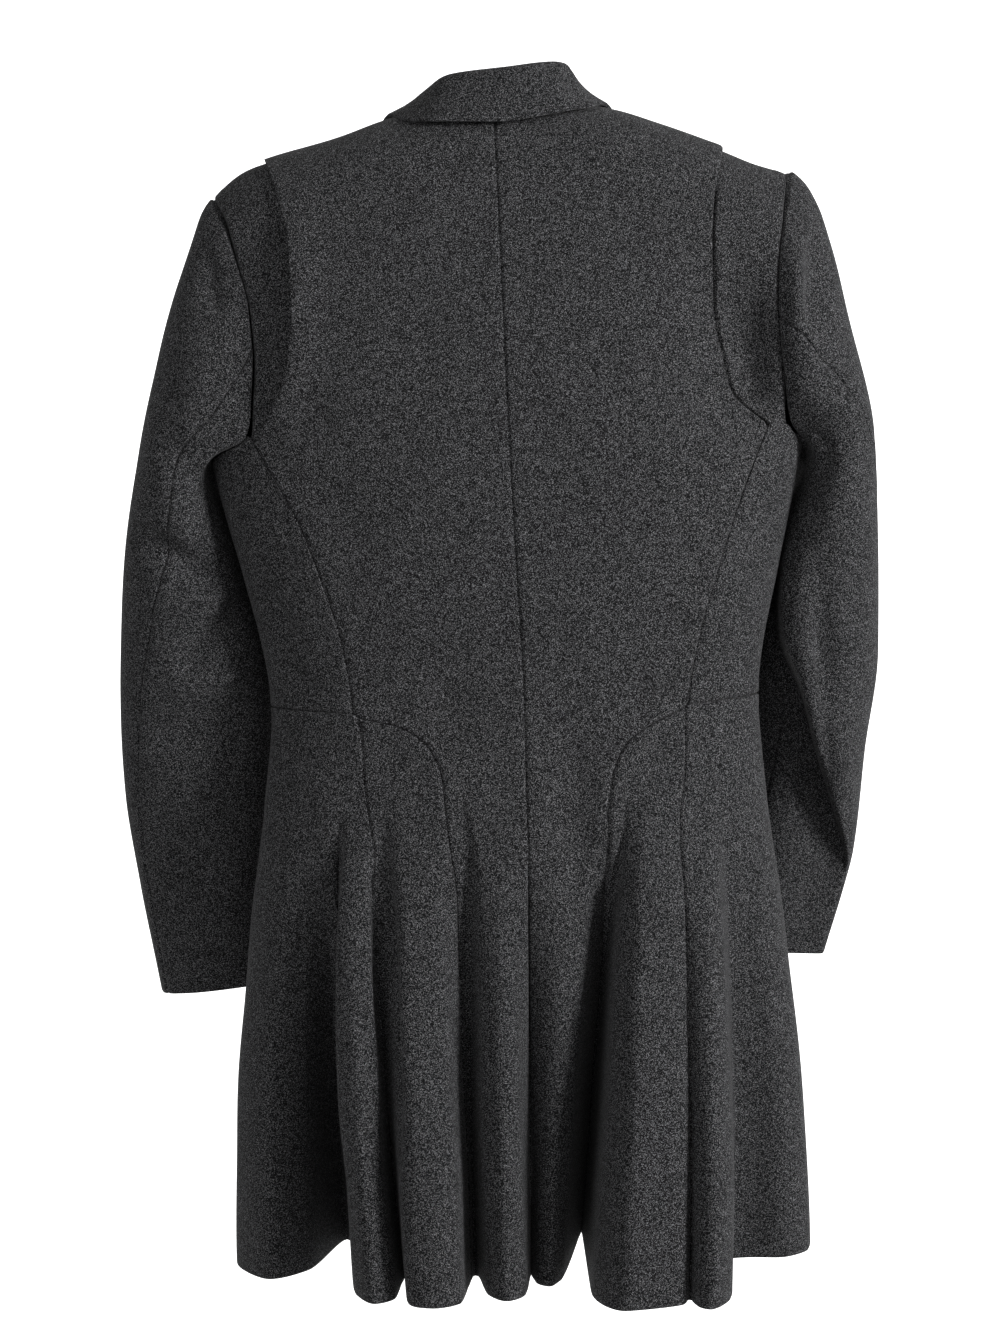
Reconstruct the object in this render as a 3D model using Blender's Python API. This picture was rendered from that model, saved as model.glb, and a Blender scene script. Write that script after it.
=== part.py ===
"""Double-breasted coat, seen from behind in the photograph.

Cloth walls worked out from body sections, seam lines, a flute table and sleeve rings. The tables are in
millimetres, "down" is measured below the neck point, and the meshes are made in metres with +Z up.
The photographed back faces -Y; the coat's own left side, as the photograph shows it, is at -X.
"""
import math

import bmesh
import bpy
import numpy as np

MM = 0.001
LEFT = -1
RIGHT = 1

# Cloth
CLOTH = 2.0
COLLAR_CLOTH = 2.2
SEAM_GAP = 0.3
UNDER_DROP = CLOTH + 1.2
UNDER_TUCK = 14.0
HEM_DOWN = 831.0
WAIST_DOWN = 432.5
WAIST_RISE = 9.5
WAIST_MEETS = 429.1
LIFT_FADES = 45.0
SQUARE = 2.5
SHOULDER_ROUND = 48.0

# Body sections: down, left half width, right half width, back depth, front depth
BODY = np.array([
    (-20, 226.0, 226.0, 46, 46),
    (60, 227.5, 227.5, 56, 58),
    (150, 222.0, 222.0, 71, 79),
    (245, 211.8, 211.8, 76, 90),
    (330, 191.5, 193.0, 72, 90),
    (428, 174.5, 174.5, 64, 78),
    (500, 182.0, 180.0, 70, 86),
    (615, 192.0, 184.5, 80, 98),
    (730, 203.0, 196.0, 88, 108),
    (850, 218.0, 211.0, 92, 116),
], float)

# Shoulder line: across, down on the left, down on the right
SHOULDER = np.array([
    (-40, -11.0, -12.0),
    (0, -11.0, -12.0),
    (40, -6.0, -7.5),
    (84, 6.2, 2.3),
    (110, 14.4, 11.2),
    (136, 21.6, 20.0),
    (163, 28.6, 28.6),
    (182, 35.2, 35.2),
    (207, 55.5, 43.2),
    (240, 105.0, 85.0),
], float)
NECK_HALF = 68.0
NECK_DROP = 19.5
NECK_CURVE = 1.2

# Centre-back seam: down, across
CENTRE = np.array([
    (0, -3.0),
    (112, -1.0),
    (217, 0.6),
    (340, 3.9),
    (416, 6.3),
    (540, 5.0),
    (831, 0.0),
], float)

# Free edge of the back panel at the armhole: share, left across, left down, right across, right down
FREE_EDGE = np.array([
    (0.00, 168.0, 29.6, 161.2, 26.9),
    (0.15, 154.2, 67.5, 149.5, 75.7),
    (0.35, 145.8, 110.8, 146.3, 113.8),
    (0.50, 144.5, 149.6, 146.2, 149.8),
    (0.70, 147.5, 183.5, 151.3, 185.3),
    (0.85, 158.8, 214.8, 157.6, 211.5),
    (1.00, 176.3, 239.1, 183.0, 236.0),
], float)

# Princess seam: share, left across, left down, right across, right down
PRINCESS = np.array([
    (0.00, 176.3, 239.1, 183.0, 236.0),
    (0.35, 144.5, 301.0, 160.5, 290.0),
    (0.55, 130.4, 339.4, 143.8, 337.1),
    (0.75, 119.1, 377.6, 130.9, 378.0),
    (0.92, 113.4, 412.2, 123.2, 412.2),
    (1.00, 112.3, 429.1, 120.6, 429.1),
], float)

# Rounded tail seam under the waist: down, left across, right across
TAIL = np.array([
    (428.0, 113.0, 121.5),
    (432.0, 107.0, 116.0),
    (439.2, 79.6, 99.5),
    (455.0, 59.3, 75.8),
    (476.0, 51.5, 66.0),
    (510.0, 49.5, 62.0),
    (850.0, 49.5, 62.0),
], float)

# Back skirt seam: down, left across, right across
SKIRT_SEAM = np.array([
    (425.0, 117.0, 125.0),
    (429.1, 112.3, 120.6),
    (431.2, 109.8, 118.8),
    (445.0, 106.8, 118.0),
    (475.0, 105.7, 116.5),
    (503.0, 103.0, 112.5),
    (545.0, 98.0, 110.0),
    (850.0, 98.0, 110.0),
], float)
SEAM_SETTLES = (500.0, 570.0)
TURN_SETTLES = (436.0, 540.0)
FALL_EVEN = 0.16
FALL_POWER = 2.2

# Armhole: share, left across, left down, right across, right down, front across, front down
ARMHOLE = np.array([
    (0.00, 207.0, 60.3, 208.0, 49.8, 0.0, 0.0),
    (0.15, 191.0, 96.5, 199.0, 84.0, 190.0, 92.0),
    (0.35, 178.0, 147.0, 191.5, 131.0, 178.0, 140.0),
    (0.50, 176.0, 173.0, 191.7, 176.0, 175.0, 174.0),
    (0.70, 178.0, 210.0, 194.6, 212.0, 178.0, 211.0),
    (0.85, 182.0, 234.0, 199.5, 235.0, 186.0, 234.0),
    (1.00, 211.0, 249.0, 211.0, 249.5, 0.0, 0.0),
], float)

# Skirt flutes in order round the hem, from the centre back to the right, the front and the left:
# name, start down, waist across at the crest, then hem places (across, toward the front) of the near edge,
# crest and far edge, then the valley after it: waist across, hem across, hem toward the front
FLUTES = [
    ("back_i", 512, 31, 4, -40, 12.5, -50, 20, -24, 62, 36.0, 86),
    ("back_k", 475, 88, 40, -60, 70, -112, 101, -108, 110, 106, -97),
    ("back_m", 492, 124, 110.5, -108, 119, -114, 134.5, -93, 140, 145, 2),
    ("back_o", 490, 158, 160, 4, 180, 2, 203, 20, 174, 207, 44),
    ("front_p", 500, 150, 200, 66, 187, 88, 167, 97, 124, 147, 88),
    ("front_q", 500, 100, 132, 107, 113, 122, 95, 121, 80, 84, 114),
    ("front_flat", 500, 0, 58, 118, 0, 121, -58, 118, -80, -84, 114),
    ("front_r", 500, -100, -95, 121, -113, 122, -132, 107, -124, -147, 88),
    ("front_s", 500, -150, -167, 97, -187, 88, -202, 68, -174, -214, 46),
    ("back_a", 490, -150, -216, 14, -186, -16, -160, 4, -117, -138, 82),
    ("back_c", 500, -107, -121, -45, -107, -80, -95, -62, -98, -90.5, -26),
    ("back_e", 480, -71, -84, -64, -64, -94, -49, -82, -34, -39.5, -26),
    ("back_g", 515, -13, -30, -54, -17, -83, -5.5, -62, 6, -0.3, -26),
]
FIRST_FRONT = 4
LAST_FRONT = 8
SIDE_VALLEY_TURN = 90.0
FLANK = 0.55

# Growth of a flute: share of its height, share of its size
GROWTH = np.array([
    (-0.2, 0.0),
    (0.0, 0.0),
    (0.08, 0.055),
    (0.3, 0.31),
    (0.6, 0.64),
    (1.0, 1.0),
    (1.1, 1.1),
], float)

ARM_CLEAR = 1.3
ARM_LOW = 246.0
UNDER_REACH = 7.0
UNDER_SHARE = 0.86

# Fronts: the right one lies over the left one
FRONT_EDGE = 70.0
FRONT_TUCK = CLOTH + 0.95
TUCK_FROM = -104.0
TUCK_TO = -80.0
BREAK_DOWN = 246.0
ROLL_TOP = 66.0

# Lapels: share, edge across, edge down (the tip is the first row, the break point the last one)
LAPEL = np.array([
    (0.00, 136.0, 74.0),
    (0.25, 121.0, 118.0),
    (0.50, 84.0, 166.0),
    (0.75, 24.0, 208.0),
    (1.00, -62.0, 241.0),
], float)
LAPEL_LIFT = {LEFT: 1.4, RIGHT: 1.3}
LAPEL_SHORT = 3.0
LAPEL_CLEAR = 1.5
UNDER_CLEAR = 9.0
LAPEL_ROWS = {LEFT: 0.64, RIGHT: 0.93}
GORGE_DOWN = 26.0

# Collar, from the left front end round the neck to the right one:
# place, stand foot (x, y, z), roll (x, y, z), leaf edge (x, y, z)
COLLAR = np.array([
    (-1.00, -54, 43, -16, -58, 50, -11, -102, 66, -54),
    (-0.84, -59, 23, -5, -55, 28, 3, -95, 44, -27),
    (-0.66, -65.5, 2, 1.0, -55, 2, 11.0, -80, -2, 1),
    (-0.50, -57, -17, -2.5, -45.5, -17, 16.5, -64, -38, -11),
    (-0.33, -38, -31, -5.5, -33, -33, 19.5, -41, -52, -16),
    (0.00, 0, -38, -6.5, 5, -43, 21.0, 0, -56, -22),
    (0.33, 36.5, -29.5, -4.0, 40, -33, 26, 44, -52, -14),
    (0.50, 54.5, -16, 0.0, 51, -17, 25.5, 66, -37, -7),
    (0.66, 65.3, 2, 3.3, 56, 2, 18.5, 81, -2, 4.5),
    (0.84, 59, 23, -3, 56, 28, 6, 96, 44, -24),
    (1.00, 54, 43, -16, 58, 50, -11, 102, 66, -52),
], float)
ROLL_WIDTH = 9.0

# Sleeve rings: outer across, outer down, inner across, inner down, toward the front, back half, front half
SLEEVE_LEFT = np.array([
    (207.5, 60, 211.0, 248, 0, 46, 46),
    (222.0, 88, 214.0, 252, 1, 52, 50),
    (243.5, 150, 214.5, 260, 4, 56, 53),
    (264.5, 236, 210.5, 276, 10, 56, 54),
    (278.5, 300, 198.5, 318, 19, 52, 52),
    (289.0, 410, 175.0, 408, 38, 46, 46),
    (291.5, 485, 177.0, 482, 54, 42, 43),
    (284.5, 556, 188.0, 556, 71, 37, 39),
    (273.0, 638, 185.0, 632, 86, 33, 36),
], float)
SLEEVE_RIGHT = np.array([
    (208.0, 44, 211.0, 248, 0, 46, 46),
    (227.0, 69, 214.0, 252, 1, 52, 50),
    (246.0, 145, 214.5, 260, 4, 56, 53),
    (264.5, 240, 208.5, 278, 10, 56, 54),
    (267.0, 310, 196.0, 322, 20, 53, 52),
    (270.0, 395, 174.0, 402, 42, 50, 46),
    (261.5, 470, 174.0, 474, 66, 46, 42),
    (255.0, 545, 166.0, 546, 88, 39, 38),
    (233.0, 627, 148.0, 620, 107, 32, 34),
], float)
SLEEVE_ROUND = 0.92
SEAM_BACK = np.array([(0, 88), (2.5, 78), (3.6, 70), (4.2, 62), (4.8, 46), (5.3, 38), (8, 36)], float)
SEAM_FRONT = np.array([(0, 250), (3, 232), (8, 225)], float)

SLEEVE_PIECES = {
    "under_sleeve": (SEAM_BACK, SEAM_FRONT, 0, 9),
    "top_sleeve": (SEAM_FRONT, SEAM_BACK, 360, 12),
}

# Overhanging fold across the right sleeve: ring at the inner end, ring at the outer end, turns, depth
FOLD_RINGS = (3.9, 6.75)
FOLD_TURNS = (158.0, 22.0)
FOLD_DEPTH = 20.0
FOLD_SHARP = 0.2
FOLD_FADE = 2.6

# Buttons on the over front: down, seat below the smooth surface, where the wall's facets lie
BUTTON_ACROSS = (-46.0, 46.0)
BUTTON_ROWS = [(270.0, 0.1), (332.0, 0.5), (394.0, -0.58)]

# Button profile from the middle of its underside to the middle of its face: radius, height above the cloth
BUTTON_PROFILE = [
    (0.0, 0.35),
    (3.2, 0.35),
    (3.4, 1.6),
    (8.0, 1.5),
    (10.6, 2.4),
    (12.0, 3.8),
    (10.9, 5.2),
    (9.4, 5.4),
    (7.6, 4.2),
    (0.0, 4.0),
]
BUTTON_SIDES = 14

WOOL = (0.055, 0.053, 0.057, 1.0)
HORN = (0.016, 0.015, 0.015, 1.0)


def smooth_line(rows, column, place):
    """Value of a table's column at a place, on a smooth line through its rows that never overshoots."""
    xs = rows[:, 0]
    ys = rows[:, column]
    step = np.diff(xs)
    slope = np.diff(ys) / step
    product = slope[:-1] * slope[1:]
    total = np.where(product > 0, slope[:-1] + slope[1:], 1.0)
    grade = np.concatenate([slope[:1], np.where(product > 0, 2 * product / total, 0.0), slope[-1:]])
    place = np.asarray(place, float)
    i = np.clip(np.searchsorted(xs, place) - 1, 0, len(step) - 1)
    t = (place - xs[i]) / step[i]
    flat = ys[i] * (1 - t) ** 2 * (1 + 2 * t) + ys[i + 1] * t ** 2 * (3 - 2 * t)
    return flat + step[i] * (grade[i] * t * (1 - t) ** 2 - grade[i + 1] * t ** 2 * (1 - t))


def ease(low, high, value):
    """Soft step from 0 at low to 1 at high."""
    t = np.clip((value - low) / (high - low), 0.0, 1.0)
    return t * t * (3 - 2 * t)


def half_width(x, down):
    """Half width of the body on the left or the right of the middle."""
    return np.where(x < 0, smooth_line(BODY, 1, down), smooth_line(BODY, 2, down))


def shoulder_down(x):
    left = smooth_line(SHOULDER, 1, np.abs(x))
    right = smooth_line(SHOULDER, 2, np.abs(x))
    return np.where(x < 0, left, right)


FREE_EDGE[0, 2] = float(shoulder_down(np.float64(-FREE_EDGE[0, 1])))
FREE_EDGE[0, 4] = float(shoulder_down(np.float64(FREE_EDGE[0, 3])))
ARMHOLE[0, 2] = float(shoulder_down(np.float64(-ARMHOLE[0, 1])))
ARMHOLE[0, 4] = float(shoulder_down(np.float64(ARMHOLE[0, 3])))


def body(turn, down):
    """Point of the body's outer surface: turn is 0 at the centre back, 90 at the right side."""
    angle = np.radians(turn)
    side = np.sin(angle)
    facing = np.cos(angle)
    x = half_width(side, down) * np.sign(side) * np.abs(side) ** (2 / SQUARE)
    depth = np.where(facing > 0, -smooth_line(BODY, 3, down), smooth_line(BODY, 4, down))
    fall = np.clip((down - shoulder_down(x)) / SHOULDER_ROUND, 0.0, 1.0)
    y = depth * np.abs(facing) ** (2 / SQUARE) * np.sqrt(1 - (1 - fall) ** 2)
    return np.stack([x, y, -down + 0 * x], axis=-1)


def turn_of(x, down, front=False):
    """Turn of the body's surface at a place across, on the back or the front."""
    share = np.clip(np.abs(x) / half_width(x, down), 0.0, 1.0)
    turn = np.degrees(np.arcsin(share ** (SQUARE / 2)))
    turn = np.where(front, 180 - turn, turn)
    return np.sign(x) * turn


def round_turn(x, front):
    """Turn of a flute's waist place, counted from 0 at the centre back to 360."""
    turn = float(turn_of(np.float64(x), np.float64(WAIST_DOWN), front))
    if front and x == 0:
        turn = 180.0
    return turn % 360


def flute_stations():
    """Hem and waist places of every crest, flank and valley in order, as one table."""
    rows = []
    last = FLUTES[-1]
    first = round_turn(last[9], False)
    before = first
    for index, flute in enumerate(FLUTES):
        start, crest_x = flute[1], flute[2]
        front = FIRST_FRONT <= index <= LAST_FRONT
        crest = round_turn(crest_x, front)
        after = round_turn(flute[9], front)
        if index == FIRST_FRONT - 1:
            after = SIDE_VALLEY_TURN
        if index == LAST_FRONT:
            after = 360 - SIDE_VALLEY_TURN
        if index == 0:
            rows.append((before, last[10], last[11], start))
        if index == len(FLUTES) - 1:
            after = first + 360
        rows.append((before + FLANK * (crest - before), flute[3], flute[4], start))
        rows.append((crest, flute[5], flute[6], start))
        rows.append((after + FLANK * (crest - after), flute[7], flute[8], start))
        rows.append((after, flute[10], flute[11], start))
        before = after
    table = np.array(rows, float)
    return np.column_stack([np.arange(len(table)), table])


STATIONS = flute_stations()
NAMES = [flute[0] for flute in FLUTES]
LAST_STATION = len(STATIONS) - 1


def station(name, part):
    """Number of a flute's station: 1 near edge, 2 crest, 3 far edge, 4 valley after it."""
    return 4 * NAMES.index(name) + part


def station_at(turn):
    """Station number of a waist turn."""
    places = np.linspace(0, LAST_STATION, 1200)
    return np.interp(turn, smooth_line(STATIONS, 1, places), places)


def growth(u, down):
    start = smooth_line(STATIONS, 4, u)
    return smooth_line(GROWTH, 1, np.clip((down - start) / (HEM_DOWN - start), -0.1, 1.05))


def fluted(u, down, turn=None):
    """Point of the skirt's outer surface at a station number and a height."""
    turn = smooth_line(STATIONS, 1, u) if turn is None else turn
    grown = growth(u, down)[..., None]
    hem = np.stack([smooth_line(STATIONS, 2, u), smooth_line(STATIONS, 3, u), 0 * u], axis=-1)
    hem[..., 2] = -down
    return body(turn, down) * (1 - grown) + hem * grown


def waist_down(turn):
    return WAIST_DOWN - WAIST_RISE * np.sin(np.radians(turn)) ** 2


def column_for(side, left, right):
    return left if side == LEFT else right


def back_outer(side, place):
    """Across and down of a back panel's outer edge: free edge to 1, princess seam to 2, then the skirt."""
    across = column_for(side, 1, 3)
    upper = np.clip(place, -1, 1)
    lower = np.clip(place - 1, 0, 1)
    hem = np.clip(place - 2, 0, 2)
    low_down = smooth_line(PRINCESS, across + 1, 1.0) + skirt_fall(hem)
    bodice = []
    for column in (across, across + 1):
        free = smooth_line(FREE_EDGE, column, upper)
        bodice.append(np.where(place < 1, free, smooth_line(PRINCESS, column, lower)))
    tail = smooth_line(TAIL, column_for(side, 1, 2), low_down)
    return np.where(place > 2, tail, bodice[0]), np.where(place > 2, low_down, bodice[1])


def skirt_fall(share):
    """Drop below the waist, slow at first so that the rounded seam gets short rows."""
    return (HEM_DOWN - WAIST_MEETS) * (FALL_EVEN * share + (1 - FALL_EVEN) * share ** FALL_POWER)


def seam_station(side, down, table, settled):
    """Station number of a skirt seam: on its own line near the waist, on a fold line lower down."""
    x = side * smooth_line(table, column_for(side, 1, 2), down)
    free = station_at(turn_of(x, down) % 360)
    share = ease(SEAM_SETTLES[0], SEAM_SETTLES[1], down)
    return free * (1 - share) + settled * share


def centre_station(side):
    return LAST_STATION if side == LEFT else 0


def tail_station(side, down):
    settled = station("back_e", 3) if side == LEFT else station("back_i", 4)
    return seam_station(side, down, TAIL, settled)


def skirt_seam_station(side, down):
    settled = station("back_c", 4) if side == LEFT else station("back_k", 4)
    return seam_station(side, down, SKIRT_SEAM, settled)


def back_panel(side):
    """Back panel from the neck to the hem; q runs from the centre seam to the outer edge."""
    top_x = side * smooth_line(FREE_EDGE, column_for(side, 1, 3), 0.0)
    top_down = shoulder_down(top_x)
    neck_down = shoulder_down(np.float64(0)) + NECK_DROP
    centre_top = smooth_line(CENTRE, 1, neck_down)
    meet = smooth_line(PRINCESS, column_for(side, 2, 4), 1.0)

    def place(q, t):
        outer_x, outer_down = back_outer(side, t)
        centre_down = np.where(t < 2, neck_down + (meet - neck_down) * t / 2, outer_down)
        centre_x = smooth_line(CENTRE, 1, centre_down)
        x = centre_x + (side * outer_x - centre_x) * q
        start_x = centre_top + (top_x - centre_top) * q
        neck = np.clip(1 - (start_x / NECK_HALF) ** 2, 0, 1) ** NECK_CURVE * NECK_DROP
        start = shoulder_down(start_x) + neck
        drop = (centre_down - neck_down) * (1 - q) + (outer_down - top_down) * q
        bodice_down = start * (1 - t / 2) + (neck_down * (1 - q) + top_down * q) * t / 2 + drop
        down = np.where(t < 2, bodice_down, outer_down)
        turn = turn_of(x, down)
        u = centre_station(side) * (1 - q) + tail_station(side, down) * q
        waist_turn = smooth_line(STATIONS, 1, u)
        waist_turn = np.where(waist_turn > 180, waist_turn - 360, waist_turn)
        settled = ease(TURN_SETTLES[0], TURN_SETTLES[1], down)
        return fluted(u, down, turn * (1 - settled) + waist_turn * settled)

    return place


def free_edge_front(side, place):
    """Front armhole edge of the fronts, the back one's mean carried round plainly."""
    tip = smooth_line(FREE_EDGE, column_for(side, 1, 3), 0.0)
    mean = 0.5 * (smooth_line(FREE_EDGE, 1, place) + smooth_line(FREE_EDGE, 3, place))
    down = 0.5 * (smooth_line(FREE_EDGE, 2, place) + smooth_line(FREE_EDGE, 4, place))
    fade = 1 - ease(0.0, 0.15, place)
    own = smooth_line(FREE_EDGE, column_for(side, 2, 4), place)
    return mean * (1 - fade) + tip * fade, down * (1 - fade) + own * fade


def front_outer(side, place):
    """Across and down of a front's outer edge: free edge, then the front princess seam."""
    upper_x, upper_down = free_edge_front(side, np.clip(place, -1, 1))
    lower = np.clip(place - 1, 0, 1.1)
    lower_x = 0.5 * (smooth_line(PRINCESS, 1, lower) + smooth_line(PRINCESS, 3, lower))
    lower_down = 0.5 * (smooth_line(PRINCESS, 2, lower) + smooth_line(PRINCESS, 4, lower))
    return np.where(place < 1, upper_x, lower_x), np.where(place < 1, upper_down, lower_down)


def roll_line(side, down):
    """Across of the fold line from the neck to the break point, then of the front edge."""
    share = np.clip(down / BREAK_DOWN, 0, 1)
    return side * (ROLL_TOP - (ROLL_TOP + FRONT_EDGE) * share)


def front_panel(side):
    """Bodice front from the shoulder to the waist; q runs from the front edge to the outer edge."""
    top_x = side * smooth_line(FREE_EDGE, column_for(side, 1, 3), 0.0)
    top_down = shoulder_down(top_x)
    inner_top = shoulder_down(np.float64(side * ROLL_TOP))
    meet = front_outer(side, np.float64(2.0))[1]

    def place(q, t):
        outer_x, outer_down = front_outer(side, t)
        inner_down = inner_top + (meet - inner_top) * t / 2
        inner_x = roll_line(side, inner_down)
        x = inner_x + (side * outer_x - inner_x) * q
        start_x = side * ROLL_TOP + (top_x - side * ROLL_TOP) * q
        drop = (inner_down - inner_top) * (1 - q) + (outer_down - top_down) * q
        bow = shoulder_down(start_x) - (inner_top * (1 - q) + top_down * q)
        down = inner_top * (1 - q) + top_down * q + bow * (1 - t / 2) + drop
        return body(turn_of(x, down, True), down)

    return place


def side_panel(side):
    """Side body under the arm; q runs from the back princess seam to the front one."""
    def place(q, t):
        back_x, back_down = back_outer(side, 1 + t)
        front_x, front_down = front_outer(side, 1 + t)
        back_turn = np.abs(turn_of(side * back_x, back_down))
        front_turn = np.abs(turn_of(side * front_x, front_down, True))
        turn = back_turn + (front_turn - back_turn) * q
        level = back_down * (1 - q) + front_down * q
        sag = (side_top(side, turn) - level) * np.clip(4.5 * q * (1 - q) * 4, 0, 1)
        low = waist_down(turn) - (waist_down(back_turn) * (1 - q) + waist_down(front_turn) * q)
        down = level + sag * (1 - ease(0.0, 0.5, t)) + low * t
        return body(side * turn, down)

    return place


def armhole_turns():
    """Turns of the armhole's rows on the left back, the right back and either front."""
    left = np.abs(turn_of(-ARMHOLE[:, 1], ARMHOLE[:, 2]))
    right = turn_of(ARMHOLE[:, 3], ARMHOLE[:, 4])
    front = turn_of(ARMHOLE[:, 5], ARMHOLE[:, 6])
    front[0] = 0.5 * (left[0] + right[0])
    for turns in (left, right, front):
        turns[-1] = 90.0
    return np.column_stack([ARMHOLE[:, 0], left, right, front])


TURNS = armhole_turns()


def armhole_down(side, share, front):
    """Height of the armhole at a share of its way from the shoulder to the underarm."""
    back = smooth_line(ARMHOLE, column_for(side, 2, 4), share)
    mid = ease(0.0, 0.15, share) * (1 - ease(0.85, 1.0, share))
    ahead = smooth_line(ARMHOLE, 6, np.clip(share, 0.15, 0.85))
    return np.where(front, back * (1 - mid) + ahead * mid, back)


def armhole_turn(side, share, front):
    """Turn of the armhole on the body's surface, 0 to 90 on the back and 90 to 180 on the front."""
    back = smooth_line(TURNS, column_for(side, 1, 2), share)
    fade = 1 - ease(0.0, 0.15, share)
    ahead = smooth_line(TURNS, 3, share) * (1 - fade) + back * fade
    return np.where(front, 180 - ahead, back)


def side_top(side, turn):
    """Height of a side body's top edge, just under the armhole."""
    share = np.linspace(0.84, 1.0, 60)
    back = np.interp(turn, armhole_turn(side, share, False), armhole_down(side, share, False))
    ahead = np.interp(180 - turn, 180 - armhole_turn(side, share, True), armhole_down(side, share, True))
    return np.where(turn <= 90, back, ahead) + ARM_CLEAR


def under_panel(side):
    """Layer under the free edge: t runs from the back underarm over the shoulder to the front one."""
    def place(q, t):
        share = np.clip(np.abs(t), 0, 1.2)
        front = t > 0
        arm = np.minimum(share, 1.0) * UNDER_SHARE
        down = armhole_down(side, arm, front)
        turn = armhole_turn(side, arm, front)
        arm_x = half_width(np.float64(side), down) * np.abs(np.sin(np.radians(turn))) ** (2 / SQUARE)
        front_x, front_down = free_edge_front(side, np.minimum(share, 1.0))
        back_x = smooth_line(FREE_EDGE, column_for(side, 1, 3), np.minimum(share, 1.0))
        edge_x = np.where(front, front_x, back_x) - UNDER_TUCK
        back_down = smooth_line(FREE_EDGE, column_for(side, 2, 4), np.minimum(share, 1.0))
        edge_down = np.where(front, front_down, back_down)
        x = arm_x + (edge_x - arm_x) * q
        far = down + (edge_down - down) * q + UNDER_REACH * ease(0.8, 1.0, share)
        arm_drop = down - smooth_line(ARMHOLE, column_for(side, 2, 4), 0.0)
        edge_drop = edge_down - smooth_line(FREE_EDGE, column_for(side, 2, 4), 0.0)
        ridge = shoulder_down(side * x) + arm_drop * (1 - q) + edge_drop * q
        near = 1 - ease(0.02, 0.3, share)
        low = ridge * near + far * (1 - near)
        return body(turn_of(side * x, low, front), low)

    return place


def outward(run, fall):
    """Outward directions of a panel from two directions along it."""
    away = np.cross(fall, run)
    away /= np.linalg.norm(away, axis=-1, keepdims=True)
    return away


def sample(panel, across, along, centre):
    """Outer points of a panel and their outward directions, at its column and row places."""
    q, t = np.meshgrid(np.asarray(across, float), np.asarray(along, float))
    step = 0.0004
    points = panel(q, t)
    run = panel(q + step, t) - panel(q - step, t)
    away = outward(run, panel(q, t + step) - panel(q, t - step))
    if np.sum(away * (points - np.array(centre))) < 0:
        away = -away
    return points, away


def trim(points, away):
    """Points with the border drawn in by half a seam gap."""
    drawn = points.copy()
    for edge, inside in ((0, 1), (-1, -2)):
        for turned in (False, True):
            grid = points.transpose(1, 0, 2) if turned else points
            normal = away.transpose(1, 0, 2) if turned else away
            target = drawn.transpose(1, 0, 2) if turned else drawn
            along = np.gradient(grid[edge], axis=0)
            inward = np.cross(normal[edge], along)
            inward /= np.linalg.norm(inward, axis=-1, keepdims=True)
            sign = np.sign(np.sum(inward * (grid[inside] - grid[edge]), axis=-1, keepdims=True))
            target[edge] += inward * sign * SEAM_GAP / 2
    return drawn


def cloth(name, colour):
    material = bpy.data.materials.new(name)
    material.use_nodes = True
    shader = material.node_tree.nodes["Principled BSDF"]
    shader.inputs["Base Color"].default_value = colour
    shader.inputs["Roughness"].default_value = 0.9
    return material


def make_object(name, points, faces, colour):
    mesh = bpy.data.meshes.new(name)
    mesh.from_pydata([tuple(float(v) * MM for v in point) for point in points], [], faces)
    shape = bmesh.new()
    shape.from_mesh(mesh)
    bmesh.ops.recalc_face_normals(shape, faces=shape.faces[:])
    shape.to_mesh(mesh)
    shape.free()
    mesh.materials.append(cloth(name, colour))
    made = bpy.data.objects.new(name, mesh)
    bpy.context.scene.collection.objects.link(made)
    return made


def make_wall(name, outer, inner, colour=WOOL):
    """Closed wall between two point grids of the same size."""
    rows, columns = outer.shape[:2]
    points = np.concatenate([outer.reshape(-1, 3), inner.reshape(-1, 3)])
    back = rows * columns

    def at(j, i, layer=0):
        return layer * back + j * columns + i

    faces = []
    for j in range(rows - 1):
        for i in range(columns - 1):
            faces.append((at(j, i), at(j, i + 1), at(j + 1, i + 1), at(j + 1, i)))
            faces.append((at(j, i, 1), at(j + 1, i, 1), at(j + 1, i + 1, 1), at(j, i + 1, 1)))
    for i in range(columns - 1):
        for j in (0, rows - 1):
            faces.append((at(j, i), at(j, i, 1), at(j, i + 1, 1), at(j, i + 1)))
    for j in range(rows - 1):
        for i in (0, columns - 1):
            faces.append((at(j, i), at(j + 1, i), at(j + 1, i, 1), at(j, i, 1)))
    return make_object(name, points, faces, colour)


def make_panel(name, panel, across, along, drop=0.0, ridge=False, centre=(0, 0, 0)):
    """Cloth wall on a panel's surface, moved in by drop and trimmed at its seams."""
    points, away = sample(panel, across, along, centre)
    if ridge:
        away[0] = level_ridge(points[0], away[0])
    outer = trim(points - away * drop, away)
    return make_wall(name, outer, outer - away * CLOTH)


def level_ridge(points, away):
    """Outward directions of the shoulder row, with no lean to the back or the front."""
    level = away.copy()
    level[np.abs(points[:, 0]) > NECK_HALF, 1] = 0.0
    return level / np.linalg.norm(level, axis=-1, keepdims=True)


def tuck(points):
    """Inward move of the under front where the over front covers it."""
    return FRONT_TUCK * ease(TUCK_FROM, TUCK_TO, points[..., 0])


def with_tuck(panel):
    def place(q, t):
        points = panel(q, t)
        points[..., 1] -= tuck(points)
        return points

    return place


def even(count):
    return np.linspace(0, 1, count + 1)


def closer(count):
    """Column places that close up toward the outer edge."""
    return 1 - (1 - even(count)) ** 1.35


def name_of(base, side):
    return base + ("_left" if side == LEFT else "_right")


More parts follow.
